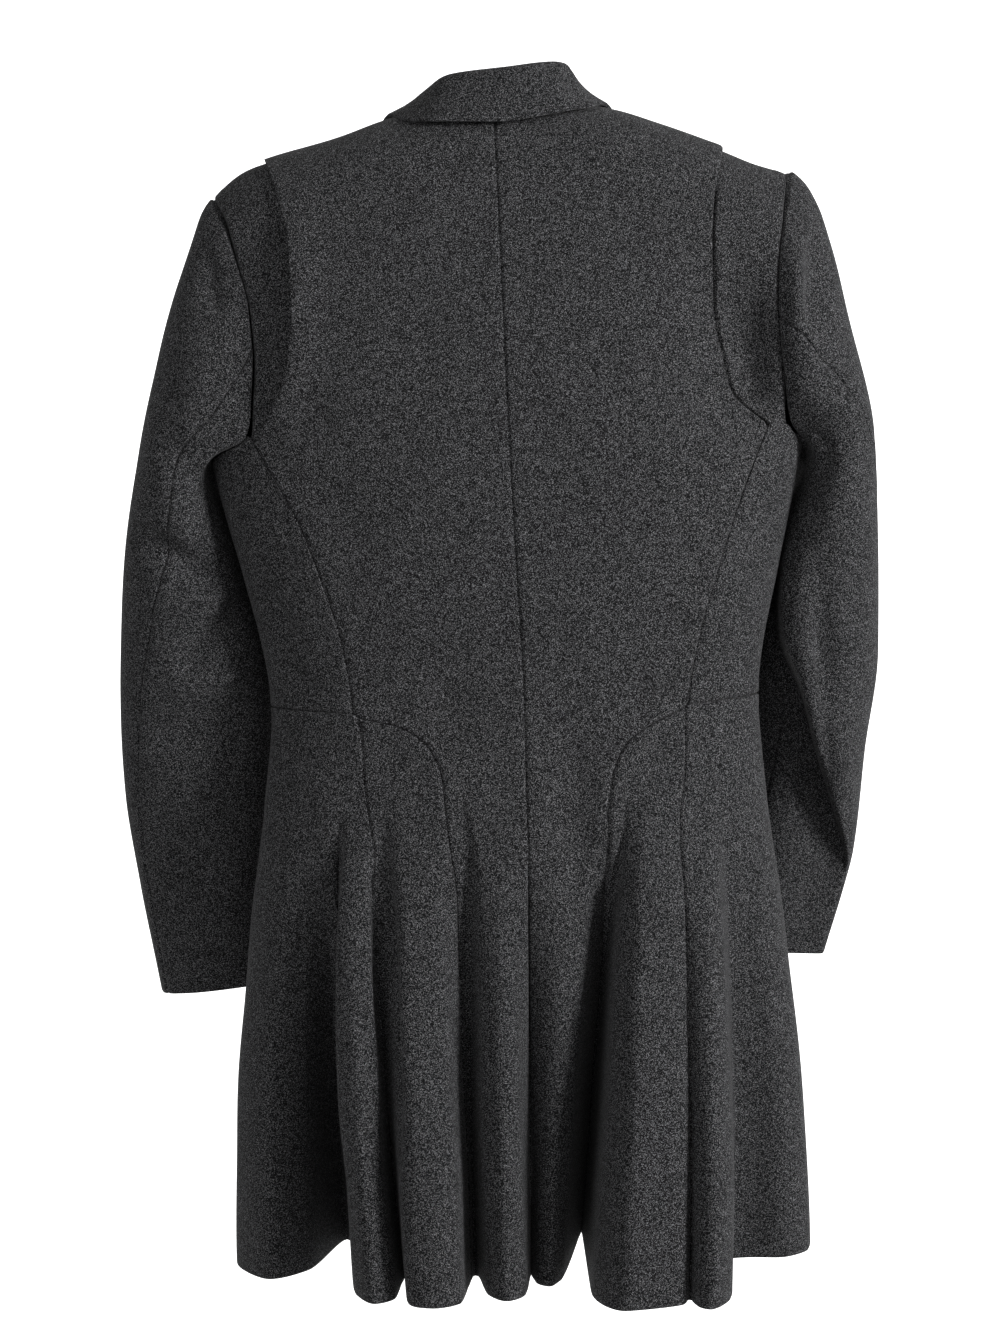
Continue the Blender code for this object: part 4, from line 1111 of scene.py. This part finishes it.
def lay_sheet(name, points, away, wall):
    """Sheet of cloth: a flat grid whose points are laid on the surface, then given its thickness."""
    rows, columns = points.shape[:2]
    deselect()
    bpy.ops.mesh.primitive_grid_add(x_subdivisions=columns - 1, y_subdivisions=rows - 1, size=1)
    piece = bpy.context.object
    piece.name = name
    mesh = piece.data
    mesh.name = name
    mesh.vertices.foreach_set("co", (points * MM).reshape(-1))
    cut = np.stack([run_along(points, 1), run_along(points, 0)], axis=-1).reshape(-1, 2) * MM
    corners = np.empty(len(mesh.loops), int)
    mesh.loops.foreach_get("vertex_index", corners)
    mesh.uv_layers.active.data.foreach_set("uv", cut[corners].reshape(-1))
    mesh.update()
    middle = (rows // 2) * (columns - 1) + columns // 2
    face = mesh.polygons[middle]
    if face.normal.dot(away[rows // 2, columns // 2]) < 0:
        mesh.flip_normals()
    add_modifier(piece, "SOLIDIFY", thickness=wall * MM, offset=-1.0, use_even_offset=False)
    add_modifier(piece, "BEVEL", width=EDGE_BEVEL * MM, segments=2, limit_method="ANGLE",
                 angle_limit=math.radians(EDGE_ANGLE))
    pick(piece)
    bpy.ops.object.shade_smooth()
    return piece


def declare(piece, node, points):
    """Places a finished sheet in the root's frame and hides the part of the model that it replaces."""
    width = float(run_along(points, 1)[:, -1].max()) * MM
    length = float(run_along(points, 0)[-1].max()) * MM
    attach(piece, "root")
    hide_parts(node)


def with_lip(points, away):
    """Sheet with an allowance past its first row, turned in below the neighbouring piece."""
    run = points[0] - points[1]
    run /= np.linalg.norm(run, axis=-1, keepdims=True)
    rows = [points[0] + (run * LIP_REACH - away[0] * LIP_DEPTH) * share for share in LIP_SHARES]
    return np.concatenate([np.stack(rows), points]), np.concatenate([away[:1], away[:1], away])


def with_side_lip(points, away):
    """The same allowance past the first column."""
    shown, turned = with_lip(points.transpose(1, 0, 2), away.transpose(1, 0, 2))
    return shown.transpose(1, 0, 2), turned.transpose(1, 0, 2)


def make_sheet(node, panel, start, end, edges, centre=(0, 0, 0), group=None, drop=0.0, wall=CLOTH,
               step=STEP, extra=None):
    """Fine sheet for a panel between two row places. edges are its first, last, top and bottom ones."""
    rows = even_rows(panel, start, end, step)
    q = close_columns(panel, rows, step)
    t = np.repeat(rows[:, None], q.shape[1], axis=1)
    points = fallen(panel(q, t))
    away = directions(points, centre)
    points = points - away * drop
    kinds = [edge(rows) if callable(edge) else edge for edge in edges]
    shown = dressed(node, points, away, kinds, group, extra)
    if "sleeve" in node or node.startswith("side"):
        shown, away = with_lip(shown, away)
    if edges[0] in ("sewn", "deep"):
        shown, away = with_side_lip(shown, away)
    piece = lay_sheet(node + "_cloth", shown, away, wall)
    piece.data.materials.append(WOOL)
    declare(piece, node, points)


def armhole_edge(rows):
    """Outer edge of the backs and fronts: raw and lifted at the armhole, sewn below it."""
    return "sewn", 1 - ease(*FREE_ENDS, rows), window(rows, LIFT_ROWS)


def flat_edge(rows):
    """Outer edge that lies pressed into the layer below at the armhole."""
    kind, raw, lifted = armhole_edge(rows)
    return kind, PRESSED * raw, lifted


def make_bodice(side):
    other = name_of("front", side)
    edge = armhole_edge if side == LEFT else flat_edge
    make_sheet(name_of("back", side), back_panel(side), 0.0, 3.0, ("sewn", edge, "raw", "fold"))
    front = front_panel(side)
    front = with_tuck(front) if side == LEFT else front
    make_sheet(other, front, 0.0, 2.0, ("fold", armhole_edge, "sewn", "sewn"))
    make_sheet(name_of("side", side), side_panel(side), 0.0, 1.0, ("sewn",) * 4)
    under = name_of("shoulder_under", side)
    raw_line = fallen(back_panel(side)(np.ones(300), np.linspace(0, 1, 300)))

    def swell(points):
        edge_x = np.interp(-points[..., 2], -raw_line[:, 2], side * raw_line[:, 0])
        past = ease(*SWELL_FROM, side * points[..., 0] - edge_x) * ease(*SWELL_DOWN, -points[..., 2])
        return SWELL[side] * past * (points[..., 1] < 0)

    around = ("sewn", "raw", "raw", "raw")
    make_sheet(under, under_panel(side), -1.0, 1.0, around, drop=UNDER_DROP, step=UNDER_STEP,
               extra=swell)


def make_skirt(side):
    top, low = WAIST_MEETS, HEM_DOWN

    def tail(down):
        return tail_station(side, down)

    def seam(down):
        return skirt_seam_station(side, down)

    def front(down):
        return SIDE_FRONT[side] + 0 * down

    def edge(down):
        return front_edge_station(side) + 0 * down

    start = WAIST_MEETS + skirt_fall(TAIL_START)
    back = name_of("skirt_back", side)
    group = name_of("skirt", side)
    around = ("deep", "sewn", "raw", "fold")
    make_sheet(back, row_panel(tail, seam), start, low, around, group=group)
    around = ("sewn", "sewn", "sewn", "fold")
    outer = row_panel(seam, front)
    make_sheet(name_of("skirt_side", side), outer, top, low, around, group=group)
    panel = row_panel(front, edge)
    panel = with_tuck(panel) if side == LEFT else panel
    ahead = ("sewn", "fold", "sewn", "fold")
    make_sheet(name_of("skirt_front", side), panel, top, low, ahead)


def make_sleeve(side):
    surface = sleeve(side)
    back, front = BACK_SEAM[side], FRONT_SEAM[side]
    for base, first, last, wrap in (("under_sleeve", back, front, 0), ("top_sleeve", front, back, 360)):
        def place(q, t, first=first, last=last, wrap=wrap):
            low = smooth_line(first, 1, t)
            turn = low + (smooth_line(last, 1, t) + wrap - low) * q
            points = surface(turn % 360, t)
            upper = np.cos(np.radians(turn)) * 0.5 + 0.5
            inner = np.exp(-((turn % 360 - BULGE_TURN) / BULGE_WIDE) ** 2)
            for reach, rings in zip(BULGE, BULGE_RINGS):
                points[..., 0] -= side * reach * inner * window(t, rings)
            points[..., 0] += side * HEAD_PUFF * window(t, HEAD_RINGS) * upper
            points[..., 2] += HEAD_RISE * window(t, RISE_RINGS) * upper ** 3
            return points

        node = name_of(base, side)
        edges = ("sewn", "sewn", "sewn", "fold")
        centre, group = (side * 230, 40, -300), name_of("sleeve", side)
        make_sheet(node, place, 0.0, 8.0, edges, centre, group, step=SLEEVE_STEP)


def make_lapel(side):
    panel = lapel_panel(side)
    panel = with_tuck(panel) if side == LEFT else panel
    lift = LAPEL_LIFT[side] + CLOTH
    make_sheet(name_of("lapel", side), panel, 0.0, LAPEL_ROWS[side], ("fold",) * 4, drop=-lift)


def make_collar():
    def place(q, t):
        return collar_panel(2 * q - 1, t)

    edges = ("fold", "fold", "raw", "fold")
    make_sheet("collar", place, 0.0, 1.0, edges, (0, -20, -30), wall=COLLAR_CLOTH)


# Colour sockets of a mix node, which share their names with those of other kinds
MIX_FIRST = 6
MIX_SECOND = 7
MIX_RESULT = 2


def tone(code):
    """Linear colour of an sRGB hex code."""
    parts = [int(code[i:i + 2], 16) / 255 for i in (1, 3, 5)]
    return tuple(v / 12.92 if v <= 0.04045 else ((v + 0.055) / 1.055) ** 2.4 for v in parts) + (1.0,)


def add(tree, kind, inputs=(), **settings):
    """Node with its settings; inputs are pairs of a socket and a value or another node's output."""
    node = tree.nodes.new(kind)
    for key, value in settings.items():
        setattr(node, key, value)
    for socket, value in inputs:
        if isinstance(value, bpy.types.NodeSocket):
            tree.links.new(value, node.inputs[socket])
        else:
            node.inputs[socket].default_value = value
    return node


def new_material(name):
    material = bpy.data.materials.new(name)
    material.use_nodes = True
    tree = material.node_tree
    return material, tree, tree.nodes["Principled BSDF"]


# Wool: dark and pale fibres; flecks, mottled patches and nap as noise scales, with the ranges that they use
DARK_FIBRE = "#101011"
PALE_FIBRE = "#868589"
FLECK_SCALE = 2300.0
FLECK_RANGE = (0.6, 0.92)
FLECK_TINT = 0.035
MOTTLE_SCALE = 95.0
PATCH_RANGE = (0.3, 0.7)
MOTTLE_RANGE = (0.95, 1.05)
NAP_SCALE = 620.0
NAP_HEIGHT = 0.0006


def make_wool():
    """Felted melange wool: dark and pale fibres mixed, matt, with a faint pale nap at grazing angles."""
    material, tree, shader = new_material("melange_wool")
    place = add(tree, "ShaderNodeTexCoord").outputs["Object"]
    # Flecks of about 0.4 mm, drawn coarser than single fibres so that they show
    cells = add(tree, "ShaderNodeTexVoronoi", [("Vector", place), ("Scale", FLECK_SCALE)]).outputs["Color"]
    limits = [("From Min", FLECK_RANGE[0]), ("From Max", FLECK_RANGE[1])]
    share = add(tree, "ShaderNodeMapRange", [("Value", cells)] + limits).outputs["Result"]
    fibres = [(MIX_FIRST, tone(DARK_FIBRE)), (MIX_SECOND, tone(PALE_FIBRE))]
    flecks = add(tree, "ShaderNodeMix", [("Factor", share)] + fibres, data_type="RGBA").outputs[MIX_RESULT]
    # A trace of each fleck's own hue, as in dyed fibres
    hues = [("Factor", FLECK_TINT), (MIX_FIRST, flecks), (MIX_SECOND, cells)]
    dyed = add(tree, "ShaderNodeMix", hues, data_type="RGBA", blend_type="OVERLAY").outputs[MIX_RESULT]
    # Mottling 8 to 15 mm wide
    patches = add(tree, "ShaderNodeTexNoise", [("Vector", place), ("Scale", MOTTLE_SCALE)]).outputs["Fac"]
    limits = [("From Min", PATCH_RANGE[0]), ("From Max", PATCH_RANGE[1])]
    gains = [("To Min", MOTTLE_RANGE[0]), ("To Max", MOTTLE_RANGE[1])]
    mottle = add(tree, "ShaderNodeMapRange", [("Value", patches)] + limits + gains).outputs["Result"]
    colour = add(tree, "ShaderNodeHueSaturation", [("Color", dyed), ("Value", mottle)]).outputs["Color"]
    tree.links.new(colour, shader.inputs["Base Color"])
    felt = [("Vector", place), ("Scale", NAP_SCALE), ("Detail", 3.0), ("Roughness", 0.6)]
    nap = add(tree, "ShaderNodeTexNoise", felt).outputs["Fac"]
    bump = add(tree, "ShaderNodeBump", [("Height", nap), ("Strength", 0.5), ("Distance", NAP_HEIGHT)])
    tree.links.new(bump.outputs["Normal"], shader.inputs["Normal"])
    shader.inputs["Roughness"].default_value = 0.95
    shader.inputs["Specular IOR Level"].default_value = 0.18
    shader.inputs["Sheen Weight"].default_value = 0.05
    shader.inputs["Sheen Roughness"].default_value = 0.45
    return material


def make_horn():
    """Polished dark horn resin with cloudy brown streaks."""
    material, tree, shader = new_material("dark_horn")
    place = add(tree, "ShaderNodeTexCoord").outputs["Object"]
    streak = add(tree, "ShaderNodeMapping", [("Vector", place), ("Scale", (60, 60, 260))]).outputs["Vector"]
    cloudy = [("Vector", streak), ("Scale", 1.0), ("Detail", 3.0)]
    clouds = add(tree, "ShaderNodeTexNoise", cloudy).outputs["Fac"]
    limits = [("From Min", 0.4), ("From Max", 0.75)]
    share = add(tree, "ShaderNodeMapRange", [("Value", clouds)] + limits).outputs["Result"]
    browns = [(MIX_FIRST, tone("#161413")), (MIX_SECOND, tone("#3a312b"))]
    colour = add(tree, "ShaderNodeMix", [("Factor", share)] + browns, data_type="RGBA").outputs[MIX_RESULT]
    tree.links.new(colour, shader.inputs["Base Color"])
    shader.inputs["Roughness"].default_value = 0.28
    shader.inputs["IOR"].default_value = 1.54
    return material


def make_thread():
    """Black buttonhole twist, slightly shiny."""
    material, _, shader = new_material("buttonhole_twist")
    shader.inputs["Base Color"].default_value = tone("#1b1a1c")
    shader.inputs["Roughness"].default_value = 0.7
    return material


def make_backdrop():
    """White paper sweep, lit through so that it stays white behind the coat."""
    material, _, shader = new_material("white_paper")
    shader.inputs["Base Color"].default_value = tone("#f4f4f4")
    shader.inputs["Roughness"].default_value = 0.95
    shader.inputs["Emission Color"].default_value = tone("#ffffff")
    shader.inputs["Emission Strength"].default_value = 0.9
    return material


WOOL = make_wool()
HORN = make_horn()
TWIST = make_thread()


# Buttons: face radius, heights of the underside and the face, the underside's share, rim, dish, holes
BUTTON_RADIUS = 12.0
BUTTON_LOW = 1.6
BUTTON_HIGH = 5.3
BUTTON_FOOT = 0.78
RIM_WIDTH = 2.3
RIM_SLOPE = 1.0
RIM_BEVEL = 0.5
DISH = 1.1
HOLE_RADIUS = 1.1
HOLE_OFFSET = 2.1
DRILL_LONG = 20.0

# Thread: radius, stitches (rise over the dish, half length, bend at the ends), shank and its ribs
TWIST_RADIUS = 0.5
STITCH_RISE = 0.35
STITCH_HALF = 1.7
STITCH_BEND = 0.6
SHANK_RADIUS = 2.6
SHANK_RIBS = 3
SHANK_RIB = 0.7
RIB_SWELL = 1.15

# Buttonholes of the closing edge: length between the round ends, place of the middle from the button, radius
# of the ends and of the cord
HOLE_LONG = 22.0
HOLE_SHIFT = 10.0
HOLE_END = 1.5
HOLE_CORD = 0.75


def select_faces(piece, chosen):
    """Leaves edit mode on, with just the faces that pass a test selected."""
    bpy.context.view_layer.objects.active = piece
    bpy.ops.object.mode_set(mode="OBJECT")
    pick(piece)
    bpy.ops.object.mode_set(mode="EDIT")
    bpy.ops.mesh.select_mode(type="FACE")
    bpy.ops.mesh.select_all(action="DESELECT")
    bpy.ops.object.mode_set(mode="OBJECT")
    for face in piece.data.polygons:
        face.select = bool(chosen(face))
    bpy.ops.object.mode_set(mode="EDIT")


def join(pieces, name):
    deselect()
    for piece in pieces:
        piece.select_set(True)
    bpy.context.view_layer.objects.active = pieces[0]
    bpy.ops.object.join()
    pieces[0].name = name
    return pieces[0]


def give_finish(piece, material, angle):
    """Smooth shading up to an angle, and one material."""
    pick(piece)
    bpy.ops.object.shade_smooth_by_angle(angle=math.radians(angle))
    piece.data.materials.clear()
    piece.data.materials.append(material)


def apply_place(piece):
    pick(piece)
    bpy.ops.object.transform_apply(location=True, rotation=True, scale=True)


def model_button():
    """Four-hole button with a rim and a dished middle, standing on the origin."""
    deselect()
    height = BUTTON_HIGH - BUTTON_LOW
    middle = 0.5 * (BUTTON_HIGH + BUTTON_LOW)
    bpy.ops.mesh.primitive_cylinder_add(vertices=48, radius=BUTTON_RADIUS * MM, depth=height * MM,
                                        location=(0, 0, middle * MM))
    piece = bpy.context.object
    apply_place(piece)
    select_faces(piece, lambda face: face.normal.z > 0.9)
    bpy.ops.mesh.inset(thickness=RIM_WIDTH * MM)
    bpy.ops.mesh.inset(thickness=RIM_SLOPE * MM, depth=-DISH * MM)
    select_faces(piece, lambda face: face.normal.z < -0.9)
    bpy.ops.transform.resize(value=(BUTTON_FOOT, BUTTON_FOOT, 1))
    bpy.ops.object.mode_set(mode="OBJECT")
    add_modifier(piece, "BEVEL", width=RIM_BEVEL * MM, segments=3, limit_method="ANGLE",
                 angle_limit=math.radians(25))
    drills = []
    for x in (-HOLE_OFFSET, HOLE_OFFSET):
        for y in (-HOLE_OFFSET, HOLE_OFFSET):
            bpy.ops.mesh.primitive_cylinder_add(vertices=20, radius=HOLE_RADIUS * MM, depth=DRILL_LONG * MM,
                                                location=(x * MM, y * MM, 0))
            drills.append(bpy.context.object)
    drill = join(drills, "drill")
    add_modifier(piece, "BOOLEAN", object=drill, operation="DIFFERENCE")
    bpy.data.objects.remove(drill, do_unlink=True)
    give_finish(piece, HORN, 35)
    return piece


def pull(step, size):
    """Extrudes the selected faces by a step in mm, then scales their new end."""
    bpy.ops.mesh.extrude_region_move(TRANSFORM_OT_translate={"value": [v * MM for v in step]})
    bpy.ops.transform.resize(value=(size, size, size))


def model_bar(y):
    """Stitch over two holes of a button: its ends dip into them."""
    deselect()
    top = BUTTON_HIGH - DISH + STITCH_RISE
    bpy.ops.mesh.primitive_cylinder_add(vertices=10, radius=TWIST_RADIUS * MM, depth=2 * STITCH_HALF * MM,
                                        location=(0, y * MM, top * MM), rotation=(0, math.pi / 2, 0))
    bar = bpy.context.object
    apply_place(bar)
    for way in (LEFT, RIGHT):
        select_faces(bar, lambda face, way=way: face.normal.x * way > 0.9)
        pull((way * STITCH_BEND, 0, -STITCH_BEND / 2), 0.9)
        pull((way * STITCH_BEND / 2, 0, -STITCH_BEND), 0.8)
        pull((0, 0, -STITCH_BEND), 0.8)
    bpy.ops.object.mode_set(mode="OBJECT")
    return bar


def model_shank():
    """Thread wound round the stitches below a button, rib over rib."""
    deselect()
    bpy.ops.mesh.primitive_circle_add(vertices=28, radius=SHANK_RADIUS * MM, fill_type="NGON")
    shank = bpy.context.object
    select_faces(shank, lambda face: True)
    for rib in range(SHANK_RIBS):
        pull((0, 0, SHANK_RIB / 3), RIB_SWELL)
        pull((0, 0, SHANK_RIB / 3), 1.0)
        pull((0, 0, SHANK_RIB / 3), 1 / RIB_SWELL)
    bpy.ops.object.mode_set(mode="OBJECT")
    return shank


def model_twist():
    """Thread of a button: two pairs of stitches over the holes and a wound shank below."""
    parts = [model_shank()]
    for y in (-HOLE_OFFSET, HOLE_OFFSET):
        for shift in (-TWIST_RADIUS, TWIST_RADIUS):
            parts.append(model_bar(y + shift))
    piece = join(parts, "twist")
    give_finish(piece, TWIST, 50)
    return piece


def model_buttonhole():
    """Corded buttonhole: a rounded bar with a slit, lying flat at the origin."""
    deselect()
    bpy.ops.mesh.primitive_torus_add(major_radius=HOLE_END * MM, minor_radius=HOLE_CORD * MM,
                                     major_segments=32, minor_segments=10)
    piece = bpy.context.object
    select_faces(piece, lambda face: face.center.x > 0)
    bpy.ops.transform.translate(value=(HOLE_LONG / 2 * MM, 0, 0))
    select_faces(piece, lambda face: face.center.x < 0)
    bpy.ops.transform.translate(value=(-HOLE_LONG / 2 * MM, 0, 0))
    bpy.ops.object.mode_set(mode="OBJECT")
    give_finish(piece, TWIST, 60)
    return piece


def seated(model, name, x, down, sunk):
    """Copy of a model set on the over front, facing out along the cloth."""
    turn = turn_of(np.float64(x), np.float64(down), True)
    axis = body_away(np.array([float(turn)]), np.array([float(down)]))[0]
    seat = body(turn, np.float64(down)) - axis * sunk
    across = np.cross(np.array([0, 0, 1.0]), axis)
    across /= np.linalg.norm(across)
    turned = np.column_stack([across, np.cross(axis, across), axis])
    piece = model.copy()
    piece.data = model.data.copy()
    piece.name = name
    piece.data.name = name
    bpy.context.scene.collection.objects.link(piece)
    flat = np.empty(len(piece.data.vertices) * 3)
    piece.data.vertices.foreach_get("co", flat)
    placed = flat.reshape(-1, 3) @ turned.T + seat * MM
    piece.data.vertices.foreach_set("co", placed.reshape(-1))
    piece.data.update()
    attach(piece, "root")
    return piece


def make_buttons():
    button, twist, hole = model_button(), model_twist(), model_buttonhole()
    number = 0
    for x in BUTTON_ACROSS:
        for down, sunk in BUTTON_ROWS:
            number += 1
            piece = seated(button, "horn_button_%d" % number, x, down, sunk)
            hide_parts("button_%d" % number)
            seated(twist, "button_twist_%d" % number, x, down, sunk)
            if x < 0:
                seated(hole, "buttonhole_%d" % number, x + HOLE_SHIFT, down, sunk)
    for model in (button, twist, hole):
        bpy.data.objects.remove(model, do_unlink=True)


# Backdrop in metres: width, depth of the floor, place of the wall, floor height, wall height, curve between
STAGE_WIDTH = 3.6
STAGE_DEPTH = 2.7
STAGE_BACK = 3.2
STAGE_FLOOR = -1.25
STAGE_HIGH = 3.4
STAGE_CURVE = 0.9


def make_stage():
    """Pale floor that curves up into a wall behind the coat."""
    deselect()
    bpy.ops.mesh.primitive_plane_add(size=1, location=(0, 0, 0))
    sweep = bpy.context.object
    sweep.name = "paper_sweep"
    select_faces(sweep, lambda face: True)
    bpy.ops.transform.resize(value=(STAGE_WIDTH, STAGE_DEPTH, 1))
    bpy.ops.transform.translate(value=(0, STAGE_BACK - STAGE_DEPTH / 2, STAGE_FLOOR))
    bpy.ops.mesh.select_mode(type="EDGE")
    bpy.ops.mesh.select_all(action="DESELECT")
    bpy.ops.object.mode_set(mode="OBJECT")
    for edge in sweep.data.edges:
        edge.select = all(sweep.data.vertices[i].co.y > STAGE_BACK - 0.01 for i in edge.vertices)
    bpy.ops.object.mode_set(mode="EDIT")
    bpy.ops.mesh.extrude_region_move(TRANSFORM_OT_translate={"value": (0, 0, STAGE_HIGH)})
    bpy.ops.object.mode_set(mode="OBJECT")
    add_modifier(sweep, "BEVEL", width=STAGE_CURVE, segments=16, limit_method="ANGLE",
                 angle_limit=math.radians(30))
    give_finish(sweep, make_backdrop(), 40)


# Lights in metres and watts: place, aim, size, power; then the strength of the even light all round
KEY_LIGHT = ((2.5, -1.6, 0.2), (0, 0, -0.45), 0.8, 93)
FILL_LIGHT = ((-2.0, -2.3, -0.3), (0, 0, -0.5), 2.4, 14)
SKY_STRENGTH = 0.33


def area_light(name, place, aim, size, power):
    lamp = bpy.data.lights.new(name, "AREA")
    lamp.size = size
    lamp.energy = power
    holder = bpy.data.objects.new(name, lamp)
    bpy.context.scene.collection.objects.link(holder)
    away = np.array(place, float) - np.array(aim, float)
    away /= np.linalg.norm(away)
    right = np.cross(np.array([0, 0, 1.0]), away)
    right /= np.linalg.norm(right)
    up = np.cross(away, right)
    rows = [(right[i], up[i], away[i], place[i]) for i in range(3)]
    holder.matrix_world = Matrix(rows + [(0, 0, 0, 1)])


def make_light():
    """Window-like light from the right and a little above, with a weak fill from the left."""
    area_light("key", *KEY_LIGHT)
    area_light("fill", *FILL_LIGHT)
    world = bpy.data.worlds.new("studio")
    world.use_nodes = True
    sky = world.node_tree.nodes["Background"]
    sky.inputs["Color"].default_value = tone("#ffffff")
    sky.inputs["Strength"].default_value = SKY_STRENGTH
    bpy.context.scene.world = world
    bpy.context.scene.view_settings.view_transform = "Standard"


# Camera: place in metres, roll in degrees, and the lens that makes a pixel 0.72 mm at the neck point
CAMERA_PLACE = (-0.0095, -1.5, -0.3973)
CAMERA_ROLL = 1.68
PIXEL = 0.72
PIXELS_HIGH = 1328
SENSOR = 36
CAMERA_LENS = -CAMERA_PLACE[1] / MM / PIXEL / PIXELS_HIGH * SENSOR


def make_camera():
    lens = bpy.data.cameras.new("photograph")
    lens.lens = CAMERA_LENS
    lens.sensor_width = SENSOR
    lens.clip_start = 0.05
    holder = bpy.data.objects.new("photograph", lens)
    bpy.context.scene.collection.objects.link(holder)
    c, s = math.cos(math.radians(CAMERA_ROLL)), math.sin(math.radians(CAMERA_ROLL))
    x, y, z = CAMERA_PLACE
    holder.matrix_world = Matrix(((c, s, 0, x), (0, 0, -1, y), (-s, c, 0, z), (0, 0, 0, 1)))
    bpy.context.scene.camera = holder


for side in (LEFT, RIGHT):
    make_bodice(side)
    make_skirt(side)
    make_sleeve(side)
    make_lapel(side)
make_collar()
make_buttons()
make_stage()
make_light()
make_camera()
